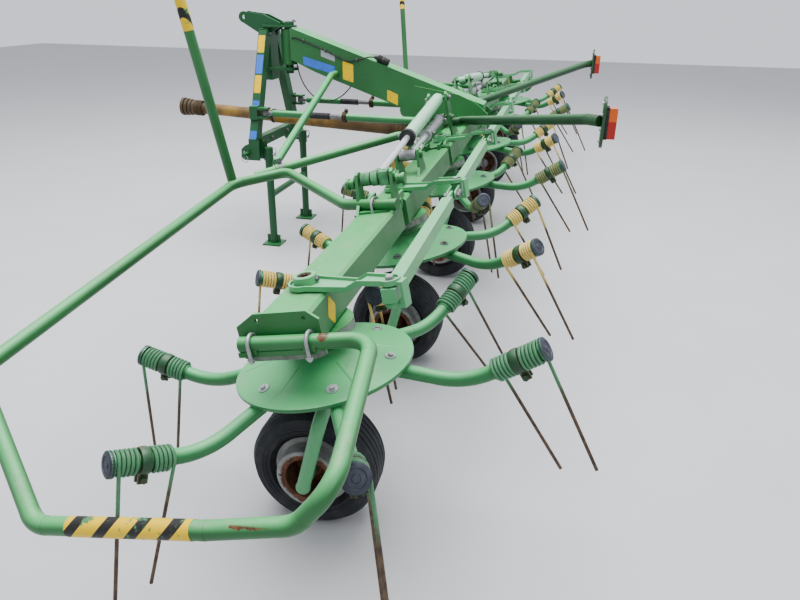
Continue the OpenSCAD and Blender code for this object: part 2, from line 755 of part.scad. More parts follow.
module headstock() {
    back = hitch_y - 60;
    color(paint_dark) in_plan() {
        difference() {
            union() {
                both_sides() {
                    a_leg(back);
                    // Hitch cheeks, the block between them and the pin that sticks out
                    for (x = [hitch_half - 58, hitch_half]) side_plate([
                        [hitch_y - 80, hitch_z - 40], [hitch_y + 26, hitch_z - 40], [hitch_y + 40, hitch_z - 22],
                        [hitch_y + 40, hitch_z + 26], [hitch_y + 14, hitch_z + 50], [hitch_y - 80, hitch_z + 90]
                    ], x, plate_t);
                    translate([hitch_half - 66, hitch_y, hitch_z]) rotate([0, 90, 0]) cylinder(h = 132, r = 14);
                    top_link_plate(40);
                    // Lug of the damper
                    box(stand_x - 30, stand_x + 30, 1204, 1302, 872, 884);
                    box(stand_x - 30, stand_x + 30, 1204, 1302, 820, 832);
                    box(stand_x - 60, stand_x + 30, back, hitch_y - 10, 812, 892);
                    // Sleeve of the parking leg
                    translate([stand_x, 1225, 560]) cylinder(h = 80, r = stand_r + 6);
                    box(stand_x - 20, stand_x + 20, 1235, hitch_y - 20, 600, 680);
                }
                box(-hitch_half, hitch_half, back, hitch_y - 10, hitch_z + 30, hitch_z + 90);
                box(-96, 96, back, hitch_y, 1262, 1326);
                // Swivel plates
                swivel_plate(main_front_z + 5, plate_t);
                swivel_plate(swivel_low, plate_t + 4);
                box(-60, 60, back, hitch_y - 10, swivel_low - 60, main_front_z + 17);
                translate([0, swivel_y, swivel_low - 20]) cylinder(h = main_front_z - swivel_low + 50, r = pin_r);
                translate([0, swivel_y, main_front_z + 14]) cylinder(h = 20, r = pin_r + 14);
            }
            for (s = [-1, 1]) translate([s * stand_x, 1225, 500]) cylinder(h = 310, r = stand_r + pin_gap);
            translate([-60, hitch_y + 115, top_link_z + 5]) rotate([0, 90, 0]) cylinder(h = 120, r = 12.7);
        }
    }
}

module swivel_plate(z, t) {
    translate([0, swivel_y, z]) cylinder(h = t, r = 56);
    translate([0, 0, z]) linear_extrude(t)
        polygon([[-50, swivel_y], [50, swivel_y], [80, hitch_y - 50], [80, hitch_y - 20], [-80, hitch_y - 20], [-80, hitch_y - 50]]);
}

// A triangular plate that reaches forward to the top link's pin
module top_link_plate(x) {
    side_plate([
        [hitch_y + 108, top_link_z + 36], [hitch_y - 20, top_link_z + 22], [swivel_y + 34, top_link_z - 24],
        [swivel_y + 30, 1340], [hitch_y - 40, 1290], [hitch_y + 4, 1290], [hitch_y + 128, top_link_z - 24]
    ], x, plate_t);
    translate([x - plate_t / 2, hitch_y + 115, top_link_z + 5]) rotate([0, 90, 0]) cylinder(h = plate_t, r = 33);
}

module a_leg(y) {
    box_w = 72;
    translate([0, y + 52, 0]) rotate([90, 0, 0]) linear_extrude(52) polygon([
        [34, 1318], [34 + box_w, 1318], [hitch_half - 4, hitch_z + 60], [hitch_half - 4, hitch_z - 10],
        [hitch_half - box_w, hitch_z - 10], [hitch_half - box_w - 6, hitch_z + 60]
    ]);
}

module stand() {
    color(paint) in_plan() {
        both_sides() {
            translate([stand_x, 1225, 6]) cylinder(h = 634, r = stand_r);
            translate([stand_x - 60, 1165, 0]) cube([120, 120, 8]);
            // Pads that hold the leg's foot upright
            box(stand_x - 4, stand_x + 4, 1180, 1270, 6, 60);
        }
        bar([-stand_x, 1225, 330], [stand_x, 1225, 330], 20);
    }
}

module drive_shaft() {
    a = [0, 362, 741];
    b = [0, 1960, 815];
    d = unit(b - a);
    color([0.8, 0.62, 0.15]) {
        leaned() translate([0, gear_y + 46 + seat_gap, nose_h]) rotate([-90, 0, 0]) cylinder(h = 76, r = 32);
        in_plan() {
            // Bells at both ends, with their bellows, and the two tubes that telescope
            for (k = [0:3]) bar(a + d * k * 26, a + d * (k * 26 + 20), 60 - k * 3);
            bar(a + d * 4, a + d * 150, 48);
            bar(a + d * 150, a + d * 940, 42);
            bar(a + d * 900, b - d * 120, 36);
            for (k = [0:3]) bar(b - d * (k * 26 + 20), b - d * k * 26, 58 - k * 3);
            bar(b - d * 122, b - d * 4, 46);
        }
    }
}

module light_bars() {
    color(paint) both_sides() {
        // The tube starts square on the tower's rear plate, and its line goes on in the upright frame
        in_plan() {
            bent_bar([lean_pt([tower_x - 60, -54 - seat_gap, 470]), lean_pt([tower_x - 60, -112, 470]),
                [lamp_x, lamp_y + 70, lamp_z], [lamp_x + 60, lamp_y + 20, lamp_z + 5]], 50, 24);
            board();
        }
    }
}

// A point of the leaned frame in the upright one
function lean_pt(p) = [p[0], p[1] * cos(rotor_lean) + p[2] * sin(rotor_lean),
    lean_height - p[1] * sin(rotor_lean) + p[2] * cos(rotor_lean)];

module board() {
    x = lamp_x + 62;
    y = lamp_y + 6;
    for (s = [-1, 1]) y_disc(x, y, lamp_z + s * 60, 45, 12);
    box(x - 45, x + 45, y - 6, y + 6, lamp_z - 60, lamp_z + 60);
}

module lamps() {
    color([0.8, 0.2, 0.1]) in_plan() both_sides()
        translate([lamp_x + 28, lamp_y - 46, lamp_z - 62]) cube([68, 45.7, 124]);
}

main_beam();
guard_arms();
centre_beam();
light_bars();
lamps();
drive_shaft();
damper_barrels();
headstock();
stand();
damper_rod(-1);  // damper_rod_l
damper_rod(1);  // damper_rod_r
inner_beam(-1);  // inner_beam_l
inner_beam(1);  // inner_beam_r
outer_beam(-1);  // outer_beam_l
outer_beam(1);  // outer_beam_r
lift_barrel(-1);  // lift_barrel_l
lift_barrel(1);  // lift_barrel_r
lift_rod(-1);  // lift_rod_l
lift_rod(1);  // lift_rod_r
fold_barrel(-1);  // fold_barrel_l
fold_barrel(1);  // fold_barrel_r
fold_rod(-1);  // fold_rod_l
fold_rod(1);  // fold_rod_r
for (i = [0:5]) {
    rotor(i);
    tines(i);
    leg(i);
    tyre(i);
    rim(i);
}
link_mid();
link_in(-1);  // link_in_l
link_in(1);  // link_in_r
link_out(-1);  // link_out_l
link_out(1);  // link_out_r
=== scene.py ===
# %% [markdown]
# # A mounted hay tedder
# The solids come in as a fixed frame. This file dresses them: spring wire, bolts,
# clamps, labels, tape and, above all, faded paint, dusty rubber and rusty steel.

import json
import math

import bmesh
import bpy
from mathutils import Matrix, Vector


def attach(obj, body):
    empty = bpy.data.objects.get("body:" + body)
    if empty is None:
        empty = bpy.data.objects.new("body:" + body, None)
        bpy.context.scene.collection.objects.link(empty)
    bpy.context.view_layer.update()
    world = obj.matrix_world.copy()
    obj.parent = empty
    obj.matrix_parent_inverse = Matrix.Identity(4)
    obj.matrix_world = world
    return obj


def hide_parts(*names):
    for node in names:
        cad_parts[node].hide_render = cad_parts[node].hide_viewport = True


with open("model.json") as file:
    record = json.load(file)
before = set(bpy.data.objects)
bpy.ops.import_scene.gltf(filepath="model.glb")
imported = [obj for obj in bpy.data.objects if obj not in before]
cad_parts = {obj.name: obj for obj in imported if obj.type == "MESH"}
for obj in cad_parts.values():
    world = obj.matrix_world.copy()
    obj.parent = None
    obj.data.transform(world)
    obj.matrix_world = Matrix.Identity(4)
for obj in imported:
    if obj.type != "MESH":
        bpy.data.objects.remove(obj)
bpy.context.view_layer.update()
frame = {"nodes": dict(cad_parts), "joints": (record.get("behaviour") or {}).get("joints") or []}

# %% [markdown]
# ## The rotor line
# Everything on the machine hangs on six leaned rotor axes. Their places are read from
# the joints, so a piece made here sits on the solids without any fitting. Two helpers
# give a point in the leaned frame of the beams or in the upright frame of the headstock,
# and a third takes short lists of points in millimetres.

# %% Rotor axes
joints = {j["name"]: j for j in frame["joints"]}
ROTORS = range(1, 7)
SIDES = {"l": -1, "r": 1}
axis_at = {i: Vector(joints[f"spin_{i}"]["pos_m"]) for i in ROTORS}
wheel_at = {i: Vector(joints[f"roll_{i}"]["pos_m"]) for i in ROTORS}
lean_axis = Vector(joints["spin_1"]["axis"]).normalized()
lean_y = Vector((0, lean_axis.z, -lean_axis.y))
SPIN_HEIGHT = 0.150
line_origin = (axis_at[3] + axis_at[4]) / 2 - lean_axis * SPIN_HEIGHT
print("rotor axes at x =", [round(axis_at[i].x, 3) for i in ROTORS])


def on_line(x, y, h):
    """A point of the leaned frame: along the beams, ahead of the axes and up along them."""
    return line_origin + Vector((x, 0, 0)) + lean_y * y + lean_axis * h


def sided(s, points):
    """Points of the leaned frame on one side: s is -1 for the left and 1 for the right."""
    return [on_line(s * x, y, h) for x, y, h in points]


def upright(x, y, z):
    """A point of the upright frame, whose y is measured from the rotor line."""
    return Vector((x, y + line_origin.y, z))


def mm(*points):
    """Points whose numbers are given in millimetres."""
    return [tuple(v / 1000 for v in point) for point in points]


def in_scene(name, data):
    """A new object about its data, linked to the scene."""
    made = bpy.data.objects.new(name, data)
    bpy.context.scene.collection.objects.link(made)
    return made


# %% [markdown]
# ## The camera
# The photograph looks along the beams from behind the outer left rotor. The camera
# stands there too, with the same field of view.

# %% Camera
EYE = upright(-4.307, -0.583, 1.558)
YAW, PITCH, ROLL = 0.230, 0.428, 0.013
FOCAL_PX, FRAME_W, SENSOR = 680.7, 800, 36.0
camera_data = bpy.data.cameras.new("camera")
camera = in_scene("camera", camera_data)
camera_data.sensor_width = SENSOR
camera_data.lens = SENSOR * FOCAL_PX / FRAME_W
camera_data.clip_end = 100
flat = math.cos(PITCH)
forward = Vector((flat * math.cos(YAW), flat * math.sin(YAW), -math.sin(PITCH)))
level = forward.cross(Vector((0, 0, 1))).normalized()
above = level.cross(forward)
right = level * math.cos(ROLL) + above * math.sin(ROLL)
up = above * math.cos(ROLL) - level * math.sin(ROLL)
camera.matrix_world = Matrix((
    (right.x, up.x, -forward.x, EYE.x),
    (right.y, up.y, -forward.y, EYE.y),
    (right.z, up.z, -forward.z, EYE.z),
    (0, 0, 0, 1),
))
bpy.context.scene.camera = camera
print("lens", round(camera_data.lens, 2), "mm")

# %% [markdown]
# ## Hanging cable
# The lamp cable sags in one loop below the main beam. It comes before the rest, because
# a cord has a real length that everything else leaves room for. A smooth curve through a
# few points, with a round bevel, is enough for it.

# %% Hanging cable


def smooth_line(points, steps=6):
    """A curve through points, in which each stretch also heeds the points beside it."""
    points = [Vector(p) for p in points]
    padded = [points[0] * 2 - points[1]] + points + [points[-1] * 2 - points[-2]]
    line = []
    for a, b, c, d in zip(padded, padded[1:], padded[2:], padded[3:]):
        for k in range(steps):
            t = k / steps
            line.append(
                b + (c - a) * 0.5 * t
                + (a * 2 - b * 5 + c * 4 - d) * 0.5 * t ** 2
                + (b * 3 - a - c * 3 + d) * 0.5 * t ** 3)
    return line + [points[-1]]


CABLE_X, CABLE_R = -0.060, 0.0035
CABLE_LINE = mm(
    (1100, 1136), (1097, 1118), (1080, 1050), (1045, 982), (990, 928), (925, 905), (860, 913),
    (805, 942), (765, 978), (750, 996), (747, 1003),
)
cable_points = smooth_line([upright(CABLE_X, y, z) for y, z in CABLE_LINE])
cable_curve = bpy.data.curves.new("hanging_cable", "CURVE")
cable_curve.dimensions = "3D"
cable_curve.bevel_depth = CABLE_R
cable_curve.bevel_resolution = 3
cable_curve.use_fill_caps = True
spline = cable_curve.splines.new("POLY")
spline.points.add(len(cable_points) - 1)
for point, place in zip(spline.points, cable_points):
    point.co = (*place, 1.0)
carrier = in_scene("cable_line", cable_curve)
graph = bpy.context.evaluated_depsgraph_get()
cable_mesh = bpy.data.meshes.new_from_object(carrier.evaluated_get(graph))
bpy.data.objects.remove(carrier)
hanging_cable = in_scene("hanging_cable", cable_mesh)
cable_length = sum((q - p).length for p, q in zip(cable_points, cable_points[1:]))
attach(hanging_cable, "frame")
print("hanging cable", round(cable_length, 3), "m")

# %% [markdown]
# ## Floor and light
# A pale floor and broad soft lights show the shapes plainly. An overcast sky gives the
# same kind of light: mostly from above, with a soft shadow below.

# %% Studio
FLOOR_HALF = 14.0
FLOOR_Z = -0.001
SKY_COLOR, SKY_STRENGTH = (0.90, 0.93, 1.0, 1), 0.80
floor_mesh = bpy.data.meshes.new("floor")
corners = [(FLOOR_HALF * a, FLOOR_HALF * b, FLOOR_Z) for a, b in ((-1, -1), (1, -1), (1, 1), (-1, 1))]
floor_mesh.from_pydata(corners, [], [(0, 1, 2, 3)])
floor = in_scene("floor", floor_mesh)


def soft_light(name, place, target, size, watts):
    """A square soft light that faces a point."""
    data = bpy.data.lights.new(name, "AREA")
    data.shape = "SQUARE"
    data.size = size
    data.energy = watts
    light = in_scene(name, data)
    light.location = place
    light.rotation_euler = (Vector(target) - Vector(place)).to_track_quat("-Z", "Y").to_euler()


soft_light("overhead", (-0.8, 0.2, 6.5), (-0.8, 0, 0), 6.5, 660)
soft_light("near side", (-6.5, -4.0, 4.5), (-1.5, 0, 0.5), 4.0, 45)
soft_light("rear side", (3.5, -5.5, 4.0), (0.5, 0, 0.5), 4.0, 50)
world = bpy.data.worlds.new("sky")
world.use_nodes = True
sky = world.node_tree.nodes["Background"]
sky.inputs["Color"].default_value = SKY_COLOR
sky.inputs["Strength"].default_value = SKY_STRENGTH
bpy.context.scene.world = world
bpy.context.scene.view_settings.look = "AgX - Medium High Contrast"
print("floor", 2 * FLOOR_HALF, "m wide, with", len(bpy.data.lights), "soft lights")

# %% [markdown]
# ## Shader maths
# Wear is arithmetic on noise. A small class lets that arithmetic be written as plain
# expressions, and each operator adds the Math node that it stands for. One method adds
# any other node, here in materials and later in Geometry Nodes trees.

# %% Socket expressions


class Value:
    """A node's output, with Python's operators where it is a number."""

    def __init__(self, nodes, socket):
        self.nodes = nodes
        self.socket = socket

    def math(self, operation, other=None, swap=False):
        pair = [other, self] if swap else [self, other]
        values = {i: v for i, v in enumerate(pair) if v is not None}
        return self.nodes.add("ShaderNodeMath", {"operation": operation}, values)

    def __add__(self, other):
        return self.math("ADD", other)

    __radd__ = __add__

    def __sub__(self, other):
        return self.math("SUBTRACT", other)

    def __rsub__(self, other):
        return self.math("SUBTRACT", other, swap=True)

    def __mul__(self, other):
        return self.math("MULTIPLY", other)

    __rmul__ = __mul__

    def above(self, low, high):
        """0 below low and 1 above high, with a smooth step between."""
        return self.nodes.add(
            "ShaderNodeMapRange", {"interpolation_type": "SMOOTHSTEP"},
            {"Value": self, "From Min": low, "From Max": high}, "Result")

    def between(self, low, high, soft):
        """1 from low to high, falling to 0 over a soft distance on either side."""
        return self.above(low - soft, low) * (1 - self.above(high, high + soft))


# %% Adding nodes


class Nodes:
    """Adds nodes to a tree and fills or links their sockets."""

    def __init__(self, tree):
        self.tree = tree

    def fill(self, node, values):
        """Gives a node's sockets their values, or links them."""
        for key, value in values.items():
            if isinstance(value, Value):
                self.tree.links.new(value.socket, node.inputs[key])
            else:
                node.inputs[key].default_value = value

    def add(self, kind, settings, values, output=0):
        node = self.tree.nodes.new(kind)
        for key, setting in settings.items():
            setattr(node, key, setting)
        self.fill(node, values)
        return Value(self, node.outputs[output])


# %% The material builder


class Shader(Nodes):
    """Builds one material's tree."""

    def __init__(self, name, shift=0.0):
        self.material = bpy.data.materials.new(name)
        self.material.use_nodes = True
        super().__init__(self.material.node_tree)
        self.tree.nodes.clear()
        self.spot = self.add("ShaderNodeTexCoord", {}, {}, "Object")
        shifted = {"Vector": self.spot, "Location": (shift, shift * 2, shift * 3)}
        self.place = self.add("ShaderNodeMapping", {}, shifted, "Vector")

    def noise(self, scale, detail=3.0, rough=0.55, stretch=None):
        place = self.place
        if stretch:
            place = self.add("ShaderNodeMapping", {}, {"Vector": place, "Scale": stretch}, "Vector")
        values = {"Vector": place, "Scale": scale, "Detail": detail, "Roughness": rough}
        return self.add("ShaderNodeTexNoise", {}, values, "Fac")

    def mix(self, amount, first, second):
        """Colour first where amount is 0 and second where it is 1."""
        a, b = (c if isinstance(c, Value) else (*c, 1) for c in (first, second))
        return self.add("ShaderNodeMix", {"data_type": "RGBA"}, {0: amount, 6: a, 7: b}, 2)

    def dot(self, first, second):
        return self.add("ShaderNodeVectorMath", {"operation": "DOT_PRODUCT"}, {0: first, 1: second}, "Value")

    def facing(self):
        """How far a face looks up: 1 on a top face, -1 underneath."""
        normal = self.add("ShaderNodeNewGeometry", {}, {}, "Normal")
        return self.add("ShaderNodeSeparateXYZ", {}, {"Vector": normal}, "Z")

    def edges(self, radius):
        """1 on an edge and 0 on a flat face, from how far a bevelled normal turns."""
        bevel = self.add("ShaderNodeBevel", {"samples": 4}, {"Radius": radius}, "Normal")
        normal = self.add("ShaderNodeNewGeometry", {}, {}, "Normal")
        return 1 - self.dot(bevel, normal).above(0.80, 0.985)

    def along(self, direction, origin):
        """How far a point lies from origin along a direction."""
        values = {0: self.spot, 1: tuple(origin)}
        offset = self.add("ShaderNodeVectorMath", {"operation": "SUBTRACT"}, values, "Vector")
        return self.dot(offset, tuple(direction))

    def aside(self):
        """Distance from the middle of the machine."""
        return self.along((1, 0, 0), line_origin).math("ABSOLUTE")

    def high(self):
        """Height in the leaned frame."""
        return self.along(lean_axis, line_origin)

    def leaned(self):
        """The point's place in the leaned frame: distance from the middle, ahead and up."""
        return self.aside(), self.along(lean_y, line_origin), self.high()

    def near(self, x, y, h, reach):
        """1 at a point of the leaned frame, on both sides, falling to 0 at its reach."""
        side, ahead, high = self.leaned()
        square = (side - x) * (side - x) + (ahead - y) * (ahead - y) + (high - h) * (high - h)
        return 1 - square.above((reach * 0.25) ** 2, reach ** 2)

    def run(self, start, end):
        """How far a point lies along a cylinder whose ends are given in the leaned frame."""
        way = Vector((end[0] - start[0], end[1] - start[1])).normalized()
        return (self.aside() - start[0]) * way.x + (self.high() - start[1]) * way.y

    def bump(self, height, strength=0.3, distance=0.002):
        values = {"Height": height, "Strength": strength, "Distance": distance}
        return self.add("ShaderNodeBump", {}, values, "Normal")

    def finish(self, color, roughness, metallic=0.0, normal=None, **fixed):
        values = {"Base Color": color, "Roughness": roughness, "Metallic": metallic}
        if normal is not None:
            values["Normal"] = normal
        values.update({k.replace("_", " "): v for k, v in fixed.items()})
        surface = self.add("ShaderNodeBsdfPrincipled", {}, values)
        self.fill(self.tree.nodes.new("ShaderNodeOutputMaterial"), {0: surface})
        return self.material


def darker(color, amount):
    return tuple(c * amount for c in color)


print("a material is built with", [name for name in vars(Shader) if not name.startswith("_")])

# %% [markdown]
# ## Faded green paint
# Farm paint chalks where the sky sees it, keeps its fresh colour on the sides and gathers dust
# on top. The paler top colour is partly a painted highlight, and the darker colour of the sides
# is partly painted shade. Along edges and at stray chips the steel rusts through, and faint pale
# scratches run where crop and straps rub. One function makes each paint, so that beams, cranks and
# guards age alike, and a piece with a mark of its own passes a function that adds it.

# %% Paint
RUST_DARK = (0.050, 0.024, 0.014)
RUST_WARM = (0.200, 0.085, 0.035)
DUST = (0.46, 0.43, 0.37)
SCRATCHED = (0.55, 0.60, 0.50)


def rust_tone(s):
    return s.mix(s.noise(90, 4, 0.7).above(0.35, 0.65), RUST_DARK, RUST_WARM)


def faded_paint(name, fresh, faded_and_lit, chips=0.5, dust=0.3, shift=0.0, mark=None):
    s = Shader(name, shift)
    broad = s.noise(1.6, 3, 0.5)
    patches = s.noise(8, 4, 0.6)
    fine = s.noise(60, 5, 0.65)
    grain = s.noise(420, 2, 0.6)
    streak = s.noise(11, 4, 0.6, stretch=(1, 1, 5))
    scratch = s.noise(26, 3, 0.5, stretch=(1, 14, 3)).above(0.735, 0.765)
    top = s.facing()
    # Top faces take the faded colour: sun fading, and partly a painted highlight; the sides keep the fresh
    # colour, partly painted shade.
    color = s.mix(top.above(0.28, 0.98) * 0.82 + broad.above(0.35, 0.7) * 0.16, fresh, faded_and_lit)
    color = s.mix(patches.above(0.45, 0.85) * 0.20, color, darker(fresh, 0.6))
    settled = top.above(0.5, 0.98) * patches.above(0.45, 0.75) * fine.above(0.35, 0.62) * dust
    color = s.mix(settled + streak.above(0.62, 0.9) * dust * 0.25, color, DUST)
    color = s.mix(scratch * 0.35, color, SCRATCHED)
    wear = fine * 0.60 + patches * 0.30 + s.edges(0.0035) * 0.27 * chips
    bare = wear.above(0.665 - 0.04 * chips, 0.695 - 0.04 * chips)
    color = s.mix(bare, color, rust_tone(s))
    if mark:
        color = mark(s, color)
    rough = 0.33 + 0.16 * patches + bare * 0.30 + settled * 0.5
    height = patches * 0.12 + grain * 0.05 - bare * 0.35
    return s.finish(color, rough, normal=s.bump(height, 0.22, 0.0010), Coat_Weight=0.12, Coat_Roughness=0.18)


# %% Marks on the paint
HOUSING_LOW, HOUSING_TOP, HOUSING_HALF = 0.222, 0.283, 0.122
RUBBED_AT = ((2.858, -0.112, 0.338, 0.030), (1.90, 0.00, 0.430, 0.028))
SCUFF_Y, SCUFF_H, SCUFF_X = -0.118, 0.187, 3.373


def beam_marks(s, color):
    """Grey gear housings under the beams, and rust where the guard is clamped and rubbed."""
    side, ahead, high = s.leaned()
    cast = high.between(HOUSING_LOW, HOUSING_TOP, 0.002) * ahead.between(-HOUSING_HALF, HOUSING_HALF, 0.004)
    iron = s.mix(s.noise(30, 4, 0.6).above(0.35, 0.7), (0.20, 0.235, 0.20), (0.11, 0.12, 0.105))
    color = s.mix(cast, color, iron)
    ragged = s.noise(55, 5, 0.7)
    for x, y, h, reach in RUBBED_AT:
        core = (s.near(x, y, h, reach) * 0.55 + ragged * 0.9 - 0.45).above(0.40, 0.50)
        rubbed = core * s.near(x, y, h, reach * 1.3).above(0.0, 0.2)
        color = s.mix(rubbed, color, rust_tone(s))
    run = (ahead - SCUFF_Y) * 14.0
    across = (high - SCUFF_H) * 75.0
    scuff = (ragged * 1.1 - run * run * 0.5 - across * across * 0.5).above(0.10, 0.18)
    return s.mix(scuff * side.above(SCUFF_X, SCUFF_X + 0.004), color, rust_tone(s))


def board_marks(s, color):
    """The lamp boards at the ends of the light bars are a darker green."""
    return s.mix(s.aside().above(1.235, 1.245), color, (0.028, 0.085, 0.032))


# %% The paints
# Each paint's first colour is its side colour, darkened partly as painted shade; its second is its top
# colour, paler partly as a painted highlight.
green = faded_paint("green paint", (0.030, 0.160, 0.052), (0.135, 0.500, 0.205))
beam_green = faded_paint("beam paint", (0.028, 0.125, 0.038), (0.118, 0.450, 0.165),
                         dust=0.35, shift=1.0, mark=beam_marks)
bar_green = faded_paint("light bar paint", (0.013, 0.056, 0.020), (0.055, 0.190, 0.070),
                        shift=2.0, mark=board_marks)
pale_green = faded_paint("pale green paint", (0.105, 0.335, 0.150), (0.220, 0.520, 0.280),
                         chips=0.35, dust=0.35, shift=3.0)
dark_green = faded_paint("dark green paint", (0.014, 0.085, 0.030), (0.045, 0.190, 0.070),
                         dust=0.25, shift=7.0)
clamp_green = faded_paint("clamp paint", (0.016, 0.060, 0.026), (0.040, 0.130, 0.060),
                          chips=3.3, dust=0.2, shift=12.0)
print("paints", [m.name for m in (green, beam_green, bar_green, pale_green, dark_green, clamp_green)])

# %% [markdown]
# ## Zinc and rusty steel
# Washers and caps are galvanised: grey, with a soft cloud. Nuts in the wet and the
# dampers' clamps have gone brown.

# %% Metals


def zinc_finish(name, color, rust=0.3, shift=0.0):
    s = Shader(name, shift)
    cloud = s.noise(26, 4, 0.6)
    spots = s.noise(70, 5, 0.7)
    tone = s.mix(cloud.above(0.3, 0.75), color, darker(color, 0.62))
    wear = spots * 0.6 + cloud * 0.3 + s.edges(0.003) * 0.1 * rust
    bare = wear.above(0.58 - 0.08 * rust, 0.66 - 0.06 * rust)
    color = s.mix(bare * min(1.0, rust * 2), tone, rust_tone(s))
    normal = s.bump(spots * 0.4 - bare * 0.3, 0.25, 0.001)
    return s.finish(color, 0.42 + 0.2 * cloud + bare * 0.25, 0.75 - bare * 0.7, normal)


zinc = zinc_finish("zinc", (0.50, 0.51, 0.52), rust=0.22)
dull_zinc = zinc_finish("dull zinc", (0.24, 0.245, 0.25), rust=0.42, shift=4.0)
rusty = zinc_finish("rusty steel", (0.080, 0.052, 0.038), rust=1.0, shift=9.0)
cap_grey = zinc_finish("cap grey", (0.105, 0.115, 0.140), rust=0.30, shift=11.0)
short_barrel = zinc_finish("short barrel", (0.46, 0.46, 0.48), rust=0.18, shift=6.0)


def black_finish():
    s = Shader("black rubber and plastic", 5.0)
    film = s.noise(24, 4, 0.6)
    color = s.mix(film.above(0.4, 0.75) * 0.6, (0.016, 0.016, 0.017), (0.075, 0.073, 0.070))
    return s.finish(color, 0.45 + 0.3 * film, normal=s.bump(s.noise(180, 3), 0.15, 0.0006))


black = black_finish()
print("metals", [m.name for m in (zinc, dull_zinc, rusty, cap_grey, short_barrel)])

# %% [markdown]
# ## Barrels and rods
# A cylinder's rod is hard chrome. The long barrel is painted, and its gland nut at the
# rod's end is bare black steel. The distance along the cylinder tells one from the other.

# %% Cylinder finishes
TOWER, LIFT_EYE, LIFT_LEN = (0.450, 0.617), (1.840, 0.509), 0.820
SHORT_PIN, SHORT_EYE = (0.450, 0.510), (1.300, 0.480)
CHROME = (0.93, 0.94, 0.96)
BLACK_STEEL = (0.022, 0.022, 0.024)


def barrel_marks(s, color):
    gland = s.run(TOWER, LIFT_EYE).above(LIFT_LEN - 0.030, LIFT_LEN - 0.026)
    return s.mix(gland, color, BLACK_STEEL)


def rod_finish(name, start, end, eye, eye_dark, metal):
    """Hard chrome up to the eye, which has a finish of its own."""
    s = Shader(name)
    length = math.dist(start, end)
    at_eye = s.run(start, end).above(length - 0.066, length - 0.062)
    film = s.noise(60, 3, 0.6, stretch=(1, 8, 8))
    cloud = s.noise(30, 4, 0.6)
    paint = s.mix(cloud.above(0.35, 0.75), eye, eye_dark)
    bare = (s.noise(75, 5, 0.7) * 0.7 + s.edges(0.003) * 0.2).above(0.47, 0.55)
    paint = s.mix(bare * 0.7, paint, rust_tone(s))
    color = s.mix(at_eye, CHROME, paint)
    rough = 0.20 + 0.16 * film + at_eye * (0.30 + 0.15 * cloud)
    return s.finish(color, rough, 0.72 - at_eye * (0.72 - metal), s.bump(cloud * at_eye, 0.2, 0.0008))


lift_rod = rod_finish("long rod", TOWER, LIFT_EYE, (0.110, 0.300, 0.150), (0.045, 0.150, 0.065), 0.0)
short_rod = rod_finish("short rod", SHORT_PIN, SHORT_EYE, (0.36, 0.35, 0.37), (0.20, 0.19, 0.20), 0.7)
barrel_paint = faded_paint("barrel paint", (0.240, 0.490, 0.300), (0.400, 0.640, 0.460),
                           chips=0.3, shift=5.0, mark=barrel_marks)
print("cylinders", [m.name for m in (lift_rod, short_rod, barrel_paint)])

# %% [markdown]
# ## Tyres and rims
# The tyres are dark rubber with dusty patches. The rim is
# grey on its flange and drum, and rusts towards the hub, where water stays.

# %% Tyres and rims


def rubber_finish():
    s = Shader("tyre rubber")
    film = s.noise(14, 5, 0.65)
    fine = s.noise(220, 3, 0.6)
    # The bluish dark grey of the rubber's base colour is partly a painted sheen.
    color = s.mix(film.above(0.42, 0.72) * 0.5, (0.020, 0.022, 0.027), (0.085, 0.084, 0.082))
    return s.finish(color, 0.60 + 0.25 * film, normal=s.bump(fine * 0.6 + film * 0.3, 0.3, 0.001))


def rim_finish(i):
    s = Shader(f"rim {i}", i * 1.7)
    y = s.along((0, 1, 0), wheel_at[i])
    z = s.along((0, 0, 1), wheel_at[i])
    ragged = s.noise(24, 5, 0.7)
    inner = 1 - (y * y + z * z + ragged * 0.006).above(0.0085, 0.0125)
    grey = s.mix(s.noise(18, 4, 0.6).above(0.35, 0.7), (0.30, 0.31, 0.30), (0.175, 0.175, 0.168))
    spots = (ragged * 0.6 + s.noise(90, 4, 0.7) * 0.4).above(0.54, 0.62)
    rust = s.mix(s.noise(40, 4, 0.7).above(0.3, 0.7), (0.060, 0.028, 0.017), (0.185, 0.080, 0.042))
    shown = (inner * 0.95 + spots * 0.55).above(0.3, 0.7)
    normal = s.bump(ragged * 0.7 + spots * 0.3, 0.35, 0.0015)
    return s.finish(s.mix(shown, grey, rust), 0.55 + shown * 0.25, 0.30 - shown * 0.28, normal)


rubber = rubber_finish()
rims = {i: rim_finish(i) for i in ROTORS}
print("wheels", rubber.name, "and", len(rims), "rims")

# %% [markdown]
# ## Spring wire
# The wire is painted where it is coiled and bare, brown and shiny where it rakes hay.
# A tine hangs below its coil, so the height along the rotor axis tells one from the other.

# %% Spring finish


def wire_finish(name, coil_color):
    s = Shader(name)
    wander = s.noise(30, 4, 0.6)
    painted = (s.high() + wander * 0.06).above(0.055, 0.125)
    chips = s.noise(150, 4, 0.7).above(0.58, 0.66)
    steel = s.mix(s.noise(60, 4, 0.65).above(0.3, 0.7), (0.050, 0.030, 0.020), (0.130, 0.085, 0.052))
    paint = s.mix(wander.above(0.4, 0.75) * 0.55, coil_color, darker(coil_color, 0.62))
    color = s.mix(painted * (1 - chips * 0.85), steel, paint)
    return s.finish(color, 0.40 + 0.25 * wander, normal=s.bump(wander, 0.2, 0.0008))


green_wire = wire_finish("green wire", (0.085, 0.235, 0.120))
olive_wire = wire_finish("olive wire", (0.180, 0.215, 0.095))
yellow_wire = wire_finish("yellow wire", (0.64, 0.50, 0.17))
WIRE_OF = dict(zip(ROTORS, (green_wire, yellow_wire, olive_wire, yellow_wire, olive_wire, yellow_wire)))
print("wires", [WIRE_OF[i].name for i in ROTORS])

